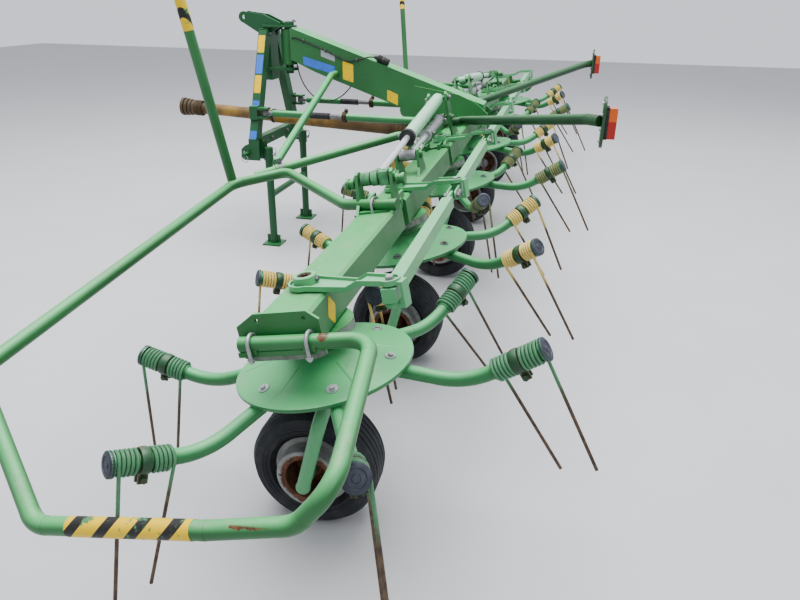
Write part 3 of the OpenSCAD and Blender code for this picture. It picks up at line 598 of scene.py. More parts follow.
# %% [markdown]
# ## Plastics, tape and labels
# The shaft guard is a brown yellow plastic under its dust. Each lamp has an amber half
# over a red one. Warning tape is yellow with slanted black bars, worn through in places,
# and the labels are left blank, as sheets of coloured film with dirty patches.

# %% Guard, lamp, tape and label finishes
LAMP_X, LAMP_Y, LAMP_Z = 1.292, -0.745, 1.062
BARS_PER_METRE = 12.5


def guard_finish():
    s = Shader("yellow guard")
    film = s.noise(9, 5, 0.65)
    spots = s.noise(60, 4, 0.6)
    color = s.mix(film.above(0.32, 0.66) * 0.80, (0.30, 0.180, 0.036), (0.105, 0.066, 0.030))
    ahead = s.along((0, 1, 0), upright(0, 0, 0))
    color = s.mix(ahead.above(1.05, 0.75) * 0.75, color, (0.075, 0.042, 0.020))
    color = s.mix(ahead.above(1.775, 1.785) * 0.75, color, (0.035, 0.028, 0.022))
    return s.finish(color, 0.45 + 0.25 * film, normal=s.bump(spots, 0.2, 0.001))


def lens_finish():
    s = Shader("lamp lens")
    high = s.along((0, 0, 1), upright(0, 0, LAMP_Z))
    ribs = s.add("ShaderNodeTexWave", {"bands_direction": "Z"}, {"Vector": s.spot, "Scale": 90.0}, "Fac")
    dirt = s.noise(20, 3).above(0.4, 0.8)
    color = s.mix(high.above(0.008, 0.010), (0.40, 0.016, 0.008), (0.62, 0.120, 0.012))
    color = s.mix(dirt * 0.5, color, (0.12, 0.035, 0.020))
    return s.finish(color, 0.18 + 0.1 * ribs, normal=s.bump(ribs, 0.25, 0.001), Coat_Weight=0.4)


def tape_finish(name, way, across):
    """Bars every 80 mm along a tube, slanted by the height across it."""
    s = Shader(name)
    run = s.along(way, line_origin) + s.along(across, line_origin) * 1.1
    bars = (run * BARS_PER_METRE).math("FRACT").between(0.10, 0.46, 0.012)
    color = s.mix(bars, (0.72, 0.50, 0.035), (0.020, 0.019, 0.018))
    worn = (s.noise(34, 5, 0.7) * 0.7 + s.noise(7, 3) * 0.3).above(0.56, 0.60)
    color = s.mix(worn, color, (0.075, 0.215, 0.095))
    return s.finish(color, 0.42 + 0.2 * worn, normal=s.bump(worn * -1.0, 0.3, 0.0006))


def label_finish(name, color):
    s = Shader(name)
    cloud = s.noise(22, 4, 0.6)
    dirt = (s.noise(75, 5, 0.7) * 0.7 + cloud * 0.3).above(0.56, 0.66)
    film = s.mix(cloud.above(0.4, 0.8) * 0.35, color, darker(color, 0.65))
    film = s.mix(dirt * 0.6, film, (0.10, 0.10, 0.07))
    return s.finish(film, 0.36 + 0.25 * cloud, normal=s.bump(dirt, 0.1, 0.0004))


def floor_finish():
    s = Shader("pale floor")
    return s.finish(s.mix(s.noise(1.5, 4, 0.6), (0.50, 0.50, 0.51), (0.56, 0.56, 0.565)), 0.75)


yellow_guard = guard_finish()
lens = lens_finish()
run_tape = tape_finish("run tape", lean_y, lean_axis)
post_tape = tape_finish("post tape", lean_axis, (1, 0, 0))
yellow_label = label_finish("yellow label", (0.78, 0.52, 0.025))
blue_label = label_finish("blue label", (0.055, 0.175, 0.60))
grey_label = label_finish("grey label", (0.33, 0.35, 0.37))
floor_mesh.materials.append(floor_finish())
cable_mesh.materials.append(black)
print("materials so far", len(bpy.data.materials))

# %% [markdown]
# ## Dressing the solids
# Every solid keeps its shape and gets the finish of its own piece.

# %% Finishes on the frame
FINISH = {
    "headstock": dark_green, "stand": dark_green, "damper_barrels": green, "drive_shaft": yellow_guard,
    "lamps": lens, "light_bars": bar_green, "main_beam": beam_green, "centre_beam": beam_green,
}
for prefix, material in (
        ("link_", pale_green), ("tyre_", rubber), ("leg_", pale_green), ("inner_beam_", beam_green),
        ("outer_beam_", beam_green), ("lift_barrel_", barrel_paint), ("lift_rod_", lift_rod),
        ("fold_barrel_", short_barrel), ("fold_rod_", short_rod), ("damper_rod_", dull_zinc)):
    FINISH.update({name: material for name in frame["nodes"] if name.startswith(prefix)})
for i in ROTORS:
    FINISH[f"tines_{i}"] = WIRE_OF[i]
    FINISH[f"rim_{i}"] = rims[i]
for name, node in frame["nodes"].items():
    node.data.materials.clear()
    node.data.materials.append(FINISH.get(name, green))
print("dressed", len(frame["nodes"]), "solids")

# %% [markdown]
# ## Round bars and turned parts
# Spring wire, U-bolts and cables are all a circle carried along a line: one function
# walks the line and turns the circle with it, without any twist. Washers, nuts and caps
# are turned from a section, and both come as plain lists, so that they can be joined.

# %% Sweep and mesh helpers
BORE = 0.0004


def carried_circle(points, radius, sides=8):
    """Vertices and faces of a round bar along points."""
    points = [Vector(p) for p in points]
    last = len(points) - 1
    ways = [(points[min(k + 1, last)] - points[max(k - 1, 0)]).normalized() for k in range(last + 1)]
    across = ways[0].orthogonal().normalized()
    verts, faces = [], []
    for k, (point, way) in enumerate(zip(points, ways)):
        across = (across - way * across.dot(way)).normalized()
        beside = way.cross(across)
        for side in range(sides):
            turn = 2 * math.pi * side / sides
            verts.append(point + (across * math.cos(turn) + beside * math.sin(turn)) * radius)
        if k:
            for side in range(sides):
                a = (k - 1) * sides + side
                b = (k - 1) * sides + (side + 1) % sides
                faces.append((a, b, b + sides, a + sides))
    faces.append(tuple(reversed(range(sides))))
    faces.append(tuple(range(last * sides, (last + 1) * sides)))
    return verts, faces


def turned_section(section, steps):
    """A closed ring turned about Z from (radius, height) pairs."""
    verts, faces = [], []
    count = len(section)
    for step in range(steps):
        turn = 2 * math.pi * step / steps
        verts += [Vector((r * math.cos(turn), r * math.sin(turn), h)) for r, h in section]
        for k in range(count):
            a = step * count + k
            b = step * count + (k + 1) % count
            shift = ((step + 1) % steps - step) * count
            faces.append((a, b, b + shift, a + shift))
    return verts, faces


def joined(*parts):
    """Several (vertices, faces) made one."""
    verts, faces = [], []
    for part_verts, part_faces in parts:
        start = len(verts)
        verts += list(part_verts)
        faces += [tuple(i + start for i in face) for face in part_faces]
    return verts, faces


def moved(part, matrix):
    return [matrix @ Vector(v) for v in part[0]], part[1]


# %% Places, blocks and bolt heads


def standing(place, z_way, x_way=None):
    """A matrix that puts a part's Z along z_way at place, and its X near x_way."""
    z = Vector(z_way).normalized()
    x = Vector(x_way) if x_way is not None else z.orthogonal()
    x = (x - z * x.dot(z)).normalized()
    y = z.cross(x)
    matrix = Matrix(((x.x, y.x, z.x, 0), (x.y, y.y, z.y, 0), (x.z, y.z, z.z, 0), (0, 0, 0, 1)))
    matrix.translation = Vector(place)
    return matrix


def stood(part, place, z_way, x_way=None):
    return moved(part, standing(place, z_way, x_way))


def brick(x0, x1, y0, y1, z0, z1):
    """A block between six faces."""
    verts = [(x, y, z) for x in (x0, x1) for y in (y0, y1) for z in (z0, z1)]
    return verts, [(0, 1, 3, 2), (4, 6, 7, 5), (0, 4, 5, 1), (2, 3, 7, 6), (0, 2, 6, 4), (1, 5, 7, 3)]


def disc(radius, height, z0=0.0, steps=20, edge=0.0008):
    """A washer or cap with a broken edge, standing on z0."""
    top = z0 + height
    section = [(BORE, z0), (radius, z0), (radius, top - edge), (radius - edge, top), (BORE, top)]
    return turned_section(section, steps)


def hexagon(size, height, z0=0.0):
    """A nut or bolt head: size across its corners, standing on z0."""
    r, top = size / 2, z0 + height
    section = [(BORE, z0), (r, z0), (r * 0.98, z0 + height * 0.85), (r * 0.86, top), (BORE, top)]
    return turned_section(section, 6)


def bolt_head(size, washer_r, thick=0.0025):
    """A washer with a hexagon head on it."""
    return joined(disc(washer_r, thick), hexagon(size, size * 0.42, thick))


def cross_bolt(size, height, half):
    """A bolt's head and its nut, half from the middle on either side."""
    return joined(hexagon(size, height, half), hexagon(size, height, -half - height))


# %% Finished pieces
SMOOTH_BELOW = math.radians(38)
fresh = []


def make_piece(name, part, material, body, bevel=None):
    """A finished piece: a mesh in the row frame, smooth but for its corners, on a body."""
    mesh = bpy.data.meshes.new(name)
    mesh.from_pydata([tuple(v) for v in part[0]], [], part[1])
    repair = bmesh.new()
    repair.from_mesh(mesh)
    bmesh.ops.recalc_face_normals(repair, faces=repair.faces)
    for face in repair.faces:
        face.smooth = True
    for edge in repair.edges:
        edge.smooth = len(edge.link_faces) != 2 or edge.calc_face_angle(0) < SMOOTH_BELOW
    repair.to_mesh(mesh)
    repair.free()
    mesh.materials.append(material)
    piece = in_scene(name, mesh)
    if bevel:
        rounding = piece.modifiers.new("rounding", "BEVEL")
        rounding.width = bevel
        rounding.segments = 2
        rounding.limit_method = "ANGLE"
    if body:
        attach(piece, body)
    fresh.append(name)
    return piece


def tell():
    """Prints which pieces were made since it was last called."""
    print("made", len(fresh), "pieces, from", fresh[0], "to", fresh[-1])
    fresh.clear()


# %% [markdown]
# ## A ring of equal things
# Arms, springs, bolts and nuts repeat about an axis. A Geometry Nodes tree takes one of
# them, copies it round the axis and leans the whole ring on to its place. Its inputs are
# the count, the first angle, the place and the lean, so every ring uses the same tree.

# %% The ring tree


def new_tree(name, inputs):
    """An empty tree with named inputs, and the values that they give."""
    tree = bpy.data.node_groups.new(name, "GeometryNodeTree")
    socket = tree.interface.new_socket
    socket("Geometry", in_out="INPUT", socket_type="NodeSocketGeometry")
    for label, kind in inputs.items():
        socket(label, in_out="INPUT", socket_type=f"NodeSocket{kind}")
    socket("Geometry", in_out="OUTPUT", socket_type="NodeSocketGeometry")
    g = Nodes(tree)
    given = tree.nodes.new("NodeGroupInput").outputs
    return g, {label: Value(g, given[label]) for label in ("Geometry", *inputs)}


def closed(g, solid, finish):
    """A finished tree, whose result has its material."""
    result = g.add("GeometryNodeSetMaterial", {}, {"Geometry": solid, "Material": finish})
    g.fill(g.tree.nodes.new("NodeGroupOutput"), {0: result})
    return g.tree


def ring_tree():
    kinds = {"Count": "Int", "First angle": "Float", "Place": "Vector", "Lean": "Vector"}
    g, given = new_tree("ring of equal things", {**kinds, "Finish": "Material"})
    points = g.add("GeometryNodePoints", {}, {"Count": given["Count"]})
    index = g.add("GeometryNodeInputIndex", {}, {})
    step = g.add("ShaderNodeMath", {"operation": "DIVIDE"}, {0: 2 * math.pi, 1: given["Count"]})
    angle = {0: index, 1: step, 2: given["First angle"]}
    turn = g.add("ShaderNodeMath", {"operation": "MULTIPLY_ADD"}, angle)
    rotation = g.add("FunctionNodeEulerToRotation", {}, {0: g.add("ShaderNodeCombineXYZ", {}, {"Z": turn})})
    spread = {"Points": points, "Instance": given["Geometry"], "Rotation": rotation}
    copies = g.add("GeometryNodeInstanceOnPoints", {}, spread)
    lean = {"Geometry": copies, "Translation": given["Place"], "Rotation": given["Lean"]}
    stand = g.add("GeometryNodeTransform", {}, lean)
    return closed(g, g.add("GeometryNodeRealizeInstances", {}, {0: stand}), given["Finish"])


RING = ring_tree()
print("ring tree of", len(RING.nodes), "nodes")

# %% Rings


def apply_tree(piece, tree, **inputs):
    """Sets a tree's inputs by their names, applies it and leaves the plain mesh piece."""
    modifier = piece.modifiers.new("tree", "NODES")
    modifier.node_group = tree
    for item in tree.interface.items_tree:
        if item.item_type == "SOCKET" and item.in_out == "INPUT" and item.name in inputs:
            modifier[item.identifier] = inputs[item.name]
    graph = bpy.context.evaluated_depsgraph_get()
    mesh = bpy.data.meshes.new_from_object(piece.evaluated_get(graph))
    piece.modifiers.clear()
    piece.data = mesh
    mesh.name = piece.name


LEAN_ANGLE = math.atan2(-lean_axis.y, lean_axis.z)
ON_ROTOR = (LEAN_ANGLE, 0.0, 0.0)
AHEAD = (LEAN_ANGLE - math.pi / 2, 0.0, 0.0)


def ring_on(name, part, count, first, place, material, body, lean=ON_ROTOR):
    """A ring of copies of part about an axis that stands at place."""
    piece = make_piece(name, part, material, None)
    inputs = {"Count": count, "First angle": first, "Place": tuple(place), "Lean": lean, "Finish": material}
    apply_tree(piece, RING, **inputs)
    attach(piece, body)
    return piece


# %% [markdown]
# ## Weld beads
# Lugs and plates are welded to the beams all round. A weld bead is a row of small
# overlapping drops of metal, so a second tree lays drops along any line: it spaces them
# evenly, turns each one along the line and varies its size from a fixed seed.

# %% The weld tree
DROP_SEGMENTS, DROP_RINGS = 7, 4


def weld_tree():
    kinds = {"Step": "Float", "Drop": "Float", "Seed": "Int", "Finish": "Material"}
    g, given = new_tree("drops along a line", kinds)
    line = g.add("GeometryNodeMeshToCurve", {}, {0: given["Geometry"]})
    spaced = g.add("GeometryNodeResampleCurve", {"mode": "LENGTH"}, {"Curve": line, "Length": given["Step"]})
    way = g.add("GeometryNodeInputTangent", {}, {})
    turned = g.add("FunctionNodeAlignRotationToVector", {"axis": "Z"}, {"Vector": way})
    ball = {"Segments": DROP_SEGMENTS, "Rings": DROP_RINGS, "Radius": given["Drop"]}
    drop = g.add("GeometryNodeMeshUVSphere", {}, ball)
    sizes = {0: (0.80, 0.80, 0.75), 1: (1.15, 1.15, 0.95), "Seed": given["Seed"]}
    size = g.add("FunctionNodeRandomValue", {"data_type": "FLOAT_VECTOR"}, sizes)
    spread = {"Points": spaced, "Instance": drop, "Rotation": turned, "Scale": size}
    copies = g.add("GeometryNodeInstanceOnPoints", {}, spread)
    solid = g.add("GeometryNodeRealizeInstances", {}, {0: copies})
    return closed(g, g.add("GeometryNodeSetShadeSmooth", {}, {0: solid}), given["Finish"])


WELD = weld_tree()
print("weld tree of", len(WELD.nodes), "nodes")

# %% Beads on the beams
DROP, SEED = 0.0036, 8
BEAM_TOP, LUG_HALF = 0.395, 0.0065


def weld_beads(name, lines, material, body):
    """Beads along lines of points in the row frame."""
    verts, edges = [], []
    for line in lines:
        edges += [(len(verts) + k, len(verts) + k + 1) for k in range(len(line) - 1)]
        verts += [tuple(p) for p in line]
    mesh = bpy.data.meshes.new(name)
    mesh.from_pydata(verts, edges, [])
    piece = in_scene(name, mesh)
    apply_tree(piece, WELD, Step=DROP * 1.15, Drop=DROP, Seed=SEED, Finish=material)
    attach(piece, body)
    fresh.append(name)


def lug_feet(s, x0, x1, half):
    """The four lines along the feet of two plates on a beam, half from its middle."""
    feet = [y + e * LUG_HALF for y in (-half, half) for e in (-1, 1)]
    return [sided(s, [(x0, y, BEAM_TOP), (x1, y, BEAM_TOP)]) for y in feet]


TOWER_LUGS = (0.258, 0.442, 0.048)
INNER_LUGS = (1.236, 1.376, 0.050)
OUTER_LUGS = (1.826, 1.942, 0.069)
SEAM_X = 2.8245
CROSS_SEAM = mm((1884, -66, 395), (1884, 60, 395))
BEAM_END_SEAM = mm((-75, 292), (-75, 386), (-66, 395.5), (66, 395.5), (75, 386), (75, 292))
centre_lines = []
for side, s in SIDES.items():
    centre_lines += lug_feet(s, *TOWER_LUGS)
    weld_beads(f"inner_welds_{side}", lug_feet(s, *INNER_LUGS), beam_green, f"inner_beam_{side}")
    outer = lug_feet(s, *OUTER_LUGS)
    outer.append(sided(s, [(SEAM_X, y, h) for y, h in BEAM_END_SEAM]))
    outer.append(sided(s, CROSS_SEAM))
    weld_beads(f"outer_welds_{side}", outer, beam_green, f"outer_beam_{side}")
weld_beads("centre_welds", centre_lines, beam_green, "frame")
tell()

# %% [markdown]
# ## Sprung tines
# This is the part that does the work. Each pair of tines is one long wire: a tine, a coil
# wound on the arm, a bridge under the clamp, a second coil and the other tine. The coils
# are true helices, and each tine runs down straight from its coil.

# %% Arms and coils
ARM_COUNT = 6
PHASE = {i: math.radians(-94 if i % 2 else -56) for i in ROTORS}
HAND = {i: 1 if i % 2 else -1 for i in ROTORS}
ARM_KNEE, ARM_END = Vector((0.420, 0, 0.084)), Vector((0.640, 0, 0.183))
arm_way = (ARM_END - ARM_KNEE).normalized()
arm_down = Vector((0, 1, 0)).cross(arm_way)
WIRE, COIL_R, COIL_LEN, CLAMP_LEN = 0.0050, 0.0301, 0.060, 0.032
PAIR_LEN = 2 * COIL_LEN + CLAMP_LEN
END_PLAY = 0.002
TURNS, TURN_LEN, TURN_STEPS = 4.75, 0.0112, 16
TIP_R, TIP_H = (0.655, 0.752), -0.185


def arm_point(s, down, side):
    """A point about an arm's coil axis: s from the arm's end, then down and sideways."""
    return ARM_END + arm_way * s + arm_down * down + Vector((0, side, 0))


def coil(hand, start, climb):
    """A coil's points from the place where its tine hangs to the bridge."""
    steps = round(TURNS * TURN_STEPS)
    turns = [-2 * math.pi * TURNS * k / steps for k in range(steps + 1)]
    along = [start - climb * t / (2 * math.pi) * TURN_LEN for t in turns]
    return [arm_point(s, math.sin(t) * COIL_R, math.cos(t) * COIL_R * hand) for s, t in zip(along, turns)]


print("a coil has", len(coil(1, 0, 1)), "points")

# %% The springs


def on_rotor(i, name, part, material, count=ARM_COUNT, turn=0.0):
    """A ring about a rotor, one copy an arm; a lone copy isn't turned."""
    foot = axis_at[i] - lean_axis * SPIN_HEIGHT
    first = PHASE[i] + turn if count > 1 else 0.0
    return ring_on(f"{name}_{i}", part, count, first, foot, material, f"rotor_{i}")


def hanging(root, tip):
    """A straight tine's points from its tip up to just below its coil."""
    return [tip.lerp(root, k) for k in (0.0, 0.35, 0.70, 0.90, 0.965)]


def spring(hand):
    inner = coil(hand, -PAIR_LEN + WIRE + END_PLAY, 1)
    outer = coil(hand, -WIRE - END_PLAY, -1)
    tips = [Vector((r, -hand * 0.010, TIP_H)) for r in TIP_R]
    bridge = [inner[-1].lerp(outer[-1], k) for k in (0.3, 0.7)]
    points = hanging(inner[0], tips[0]) + inner + bridge + outer[::-1] + hanging(outer[0], tips[1])[::-1]
    return carried_circle(points, WIRE, 8)


for i in ROTORS:
    wires = on_rotor(i, "springs", spring(HAND[i]), WIRE_OF[i])
    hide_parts(f"tines_{i}")
tell()

# %% [markdown]
# ## Clamps and caps
# A painted, rust-spotted clamp holds the spring's bridge: a band round the arm, and below
# it two cheeks pulled together by one bolt. A grey cap closes the arm's end.

# %% Clamps and arm caps
CLAMP_SECTION = mm((25, -13.5), (34.5, -12.5), (36.2, -6), (36.2, 6), (34.5, 12.5), (25, 13.5))
CAP_SECTION = mm(
    (0.4, 0), (33, 0), (34.7, 3), (34, 11), (30, 13.5), (23, 13.5), (21.5, 11.5), (10, 11.5),
    (8.5, 13.5), (0.4, 13.5),
)


def spring_clamp():
    cheeks = [brick(0.028, 0.056, y0, y0 + 0.0075, -0.0125, 0.0125) for y0 in (-0.0125, 0.005)]
    shank = disc(0.005, 0.034, -0.017, 8)
    bolt = joined(hexagon(0.019, 0.008, 0.0125), hexagon(0.019, 0.009, -0.0215), shank)
    bolt = stood(bolt, (0.046, 0, 0), (0, 1, 0))
    block = brick(0.028, 0.044, -0.006, 0.006, -0.010, 0.010)
    whole = joined(turned_section(CLAMP_SECTION, 18), *cheeks, block, bolt)
    return stood(whole, ARM_END - arm_way * (COIL_LEN + CLAMP_LEN / 2), arm_way, arm_down)


for i in ROTORS:
    on_rotor(i, "clamps", spring_clamp(), clamp_green)
    on_rotor(i, "arm_caps", stood(turned_section(CAP_SECTION, 26), ARM_END, arm_way, arm_down), cap_grey)
tell()

# %% [markdown]
# ## Rotor plates
# Each arm is held by a bolt with a wide pale washer, a shallow crease stiffens the dish
# beside each arm, and the plate's edge is rolled.

# %% Plate bolts, creases and rim
DISH_RIM_R, DISH_RIM_H, DISH_HUB_R, DISH_TOP_H = 0.262, 0.158, 0.062, 0.212
dish_slope = math.atan2(DISH_TOP_H - DISH_RIM_H, DISH_RIM_R - DISH_HUB_R)
BOLT_AT = 0.210
CREASE_R, CREASE_TURN = 0.0118, math.radians(17)
CREASE_SUNK = mm((100, 13), (115, 10.5), (150, 9.8), (200, 9.8), (235, 10.5), (250, 13.5))
RIM_SECTION = mm((-6, -12), (0, -13.5), (3.5, -8), (3, -1), (-2, 1.5), (-12, 3.2))
NEW_WASHERS = (1, 6)


def dish_height(r):
    return DISH_TOP_H - (r - DISH_HUB_R) * math.tan(dish_slope)


tilt = Matrix.Translation((BOLT_AT, 0, dish_height(BOLT_AT))) @ Matrix.Rotation(dish_slope, 4, "Y")
plate_bolt = moved(bolt_head(0.0165, 0.0172, 0.0028), tilt)
crease = carried_circle([(r, 0, dish_height(r) - sunk) for r, sunk in CREASE_SUNK], CREASE_R, 16)
rolled_rim = turned_section([(DISH_RIM_R + r, DISH_RIM_H + h) for r, h in RIM_SECTION], 72)
for i in ROTORS:
    on_rotor(i, "plate_bolts", plate_bolt, zinc if i in NEW_WASHERS else dull_zinc)
    on_rotor(i, "plate_creases", crease, green, turn=CREASE_TURN)
    on_rotor(i, "plate_rim", rolled_rim, green, count=1)
tell()

# %% [markdown]
# ## Wheels
# The sidewalls carry raised rings, the dish is held to the hub by a ring of nuts, and a
# grey cap covers the axle's end. The wheel's outer side faces away from the middle.

# %% Wheel rings, nuts and caps
SIDEWALL_RINGS = mm((160.5, 82.6), (150, 81.7), (136.5, 79))
HUB_CAP_SECTION = mm((0.4, -30), (36.5, -30), (39.5, -34), (39.5, -46), (34, -52.5), (0.4, -53.5))
COLLAR_SECTION = mm((16.5, 38), (34.5, 38), (34.5, 46), (26, 56), (16.5, 56))
LIP_SECTION = mm(
    (96.5, 108), (99.5, 106.5), (100.5, 109.5), (99, 113), (95.5, 114), (72.5, 114), (70, 112),
    (72, 111),
)
NUT_COUNT = 5


def sidewall_rings():
    rings = []
    for end in (-1, 1):
        for r, x in SIDEWALL_RINGS:
            foot, crown = end * (x - 0.003), end * (x + 0.0004)
            section = [(r - 0.0028, foot), (r - 0.0012, crown), (r + 0.0012, crown), (r + 0.0028, foot)]
            rings.append(turned_section(section, 56))
    return joined(*rings)


flipped = Matrix.Translation((0.062, 0, 0.004)) @ Matrix.Rotation(math.pi, 4, "Y")
nut = moved(bolt_head(0.020, 0.0125), flipped)
cap = turned_section(HUB_CAP_SECTION, 28)
lip = joined(turned_section(COLLAR_SECTION, 28), turned_section(LIP_SECTION, 48))
for i in ROTORS:
    outward = (0.0, math.copysign(math.pi / 2, axis_at[i].x), 0.0)
    for name, part, count, first, material in (
            ("sidewall_rings", sidewall_rings(), 1, 0.0, rubber), ("wheel_nuts", nut, NUT_COUNT, 0.3, rusty),
            ("hub_caps", cap, 1, 0.0, dull_zinc), ("drum_lip", lip, 1, 0.0, rims[i])):
        ring_on(f"{name}_{i}", part, count, first, wheel_at[i], material, f"wheel_{i}", outward)
tell()

# %% [markdown]
# ## Cranks and link rods
# The steering cranks turn about a thick bolt with a rusty bore, and each one takes the
# square rod by a bolt through its end. Where a beam folds, two ears and a tongue join
# the rods with a bolt across.

# %% Crank and rod bolts
CRANK_X, CRANK_Y = -0.078, -0.272
BOSS_TOP, CRANK_TOP, ROD_H, ROD_HALF = 0.430, 0.4262, 0.393, 0.0180
FOLDS = {"in": 0.720, "out": 1.780}
LINK_OF = dict(zip(ROTORS, ("link_out_l", "link_in_l", "link_mid", "link_mid", "link_in_r", "link_out_r")))
RING_SECTION = mm((20, -2), (33, -2), (33.5, 1), (31.5, 3), (22, 3), (20.5, 1))
BORE_SECTION = mm((7, 0), (20.5, 0), (20.5, 1.2), (15, 1.6), (9, 0.6))
for i in ROTORS:
    x = axis_at[i].x
    top = on_line(x, 0, BOSS_TOP)
    ring = stood(turned_section(RING_SECTION, 28), top, lean_axis)
    bore = joined(turned_section(BORE_SECTION, 24), hexagon(0.018, 0.0045, 0.0006))
    side_bolt = stood(hexagon(0.016, 0.008), on_line(x, -0.0335, 0.418), -lean_y)
    pin = stood(bolt_head(0.024, 0.0150), on_line(x + CRANK_X, CRANK_Y, CRANK_TOP), lean_axis)
    make_piece(f"boss_rings_{i}", ring, pale_green, f"leg_{i}")
    make_piece(f"boss_bores_{i}", stood(bore, top, lean_axis), rusty, f"leg_{i}")
    make_piece(f"boss_bolts_{i}", side_bolt, dull_zinc, f"leg_{i}")
    make_piece(f"crank_bolts_{i}", pin, zinc, LINK_OF[i])
for side, s in SIDES.items():
    for where, reach in FOLDS.items():
        bolts = [(reach, 0.026, 0.0150)]
        if where == "out":
            bolts += [(reach - k, 0.018, 0.0110) for k in (0.034, 0.054)]
        heads = [
            stood(bolt_head(size, washer), on_line(s * x, CRANK_Y + face * ROD_HALF, ROD_H), lean_y * face)
            for x, size, washer in bolts for face in (-1, 1)
        ]
        body = "link_mid" if where == "in" else f"link_in_{side}"
        make_piece(f"rod_bolts_{where}_{side}", joined(*heads), dull_zinc, body)
tell()

# %% [markdown]
# ## U-bolts
# The guard tubes are held by U-bolts: a bent round bar over the tube, with a nut on each
# leg below the plate. The bend is half a circle, so it is worked out, not drawn.

# %% U-bolts on the guards
GUARD_R, BOLT_R = 0.021, 0.0052
GUARD_CLAMPS = mm((2858, -72, 325.6), (2858, 93, 327))
END_CLAMP = mm((1897, 4, 421.5), (1922, -92, 419), (1862, 137, 425))
GUARD_BAND = mm((1280, 640, 494), (1294.5, 661, 493), (1266, 619, 495))
BAND_SECTION = mm((25.5, -10), (28.5, -9), (28.5, 9), (25.5, 10))


def u_bolt(center, way, upward, leg=0.045):
    """A U-bolt over a tube that runs along way, its legs away from upward."""
    way, upward = Vector(way).normalized(), Vector(upward).normalized()
    beside = way.cross(upward)
    reach = GUARD_R + BOLT_R
    bend = [math.pi * k / 14 for k in range(15)]
    points = [beside * reach - upward * leg]
    points += [beside * reach * math.cos(t) + upward * reach * math.sin(t) for t in bend]
    points.append(-beside * reach - upward * leg)
    parts = [carried_circle([Vector(center) + p for p in points], BOLT_R, 10)]
    for end in (-1, 1):
        nut_at = Vector(center) + beside * reach * end - upward * (leg - 0.012)
        parts.append(stood(bolt_head(0.018, 0.0105, 0.0018), nut_at, -upward))
    return joined(*parts)


for side, s in SIDES.items():
    clamps = [u_bolt(place, lean_y, lean_axis) for place in sided(s, GUARD_CLAMPS)]
    make_piece(f"guard_clamps_{side}", joined(*clamps), zinc, f"outer_beam_{side}")
    place, front, rear = sided(s, END_CLAMP)
    end_clamp = u_bolt(place, front - rear, lean_axis, 0.032)
    make_piece(f"guard_end_clamps_{side}", end_clamp, zinc, f"outer_beam_{side}")
    place, front, rear = sided(s, GUARD_BAND)
    tabs = [brick(0.026, 0.050, y0, y0 + 0.004, -0.010, 0.010) for y0 in (-0.007, 0.003)]
    tab_bolt = stood(cross_bolt(0.015, 0.007, 0.007), (0.040, 0, 0), (0, 1, 0))
    band = joined(turned_section(BAND_SECTION, 22), *tabs, tab_bolt)
    band = stood(band, place, front - rear, lean_axis)
    make_piece(f"guard_bands_{side}", band, dull_zinc, f"inner_beam_{side}")
tell()

# %% [markdown]
# ## Cylinders
# Washered bolts hold the pins of the tower, and on each long barrel a steel pipe runs
# between two hose fittings.

# %% Pins, fittings and pipes
PIPE_LINE = mm((70, 47), (78, 50), (120, 46), (160, 41), (700, 41), (735, 45), (765, 50), (770, 47))
LIFT_RUNS, LIFT_SIDE = (0.070, LIFT_LEN - 0.050), 0.030
PORT_RUNS, PORT_SIDE = (0.065, 0.405), -0.023
TOWER_HALF, PIPE_R = 0.0610, 0.0055


def cylinder_line(side, start, end):
    """The start of a cylinder on one side, and its direction."""
    p, q = on_line(side * start[0], 0, start[1]), on_line(side * end[0], 0, end[1])
    return p, (q - p).normalized()


for side, s in SIDES.items():
    start, way = cylinder_line(s, TOWER, LIFT_EYE)
    fitting = joined(disc(0.0115, 0.010), hexagon(0.019, 0.014, 0.010))
    fittings = [stood(fitting, start + way * run + lean_y * LIFT_SIDE, lean_y) for run in LIFT_RUNS]
    fittings.append(carried_circle([start + way * a + lean_y * b for a, b in PIPE_LINE], PIPE_R, 8))
    make_piece(f"barrel_pipes_{side}", joined(*fittings), dull_zinc, f"lift_barrel_{side}")
    start, way = cylinder_line(s, SHORT_PIN, SHORT_EYE)
    port = joined(disc(0.010, 0.008), hexagon(0.017, 0.012, 0.008))
    ports = [stood(port, start + way * run + lean_y * PORT_SIDE, -lean_y) for run in PORT_RUNS]
    make_piece(f"short_ports_{side}", joined(*ports), dull_zinc, f"fold_barrel_{side}")
    pins = [
        stood(bolt_head(0.024, 0.0150), on_line(s * TOWER[0], face * TOWER_HALF, h), lean_y * face)
        for h in (SHORT_PIN[1], TOWER[1]) for face in (-1, 1)
    ]
    make_piece(f"tower_pins_{side}", joined(*pins), dull_zinc, "frame")
tell()

# %% [markdown]
# ## Gearbox and shaft
# Bolts ring the gearbox flange, and a filler plug stands on its roof. The guard of the
# drive shaft has ribs on its bells.

# %% Gearbox bolts and shaft ribs
flange_bolt = moved(bolt_head(0.017, 0.0105), Matrix.Translation((0.0560, 0, 0.236)))
ring_on("flange_bolts", flange_bolt, 6, 0.26, on_line(0, 0, 0.400), dull_zinc, "frame", AHEAD)
plug = joined(hexagon(0.030, 0.012), disc(0.009, 0.020, 0.012, 14))
make_piece("filler_plug", stood(plug, on_line(0.045, 0.150, 0.475), lean_axis), rusty, "frame")
SHAFT_REAR, SHAFT_FRONT, SHAFT_JOINT = upright(0, 0.362, 0.741), upright(0, 1.960, 0.815), 0.940
RIB_START, RIB_STEP, RIB_COUNT = 0.108, 0.009, 5
RIB_SECTION = mm((46, -3), (50.5, -2), (50.5, 2), (46, 3))
JOINT_SECTION = mm((35.5, -8), (44.5, -8), (45.5, -4), (45.5, 4), (44.5, 8), (35.5, 8))
shaft_way = (SHAFT_FRONT - SHAFT_REAR).normalized()
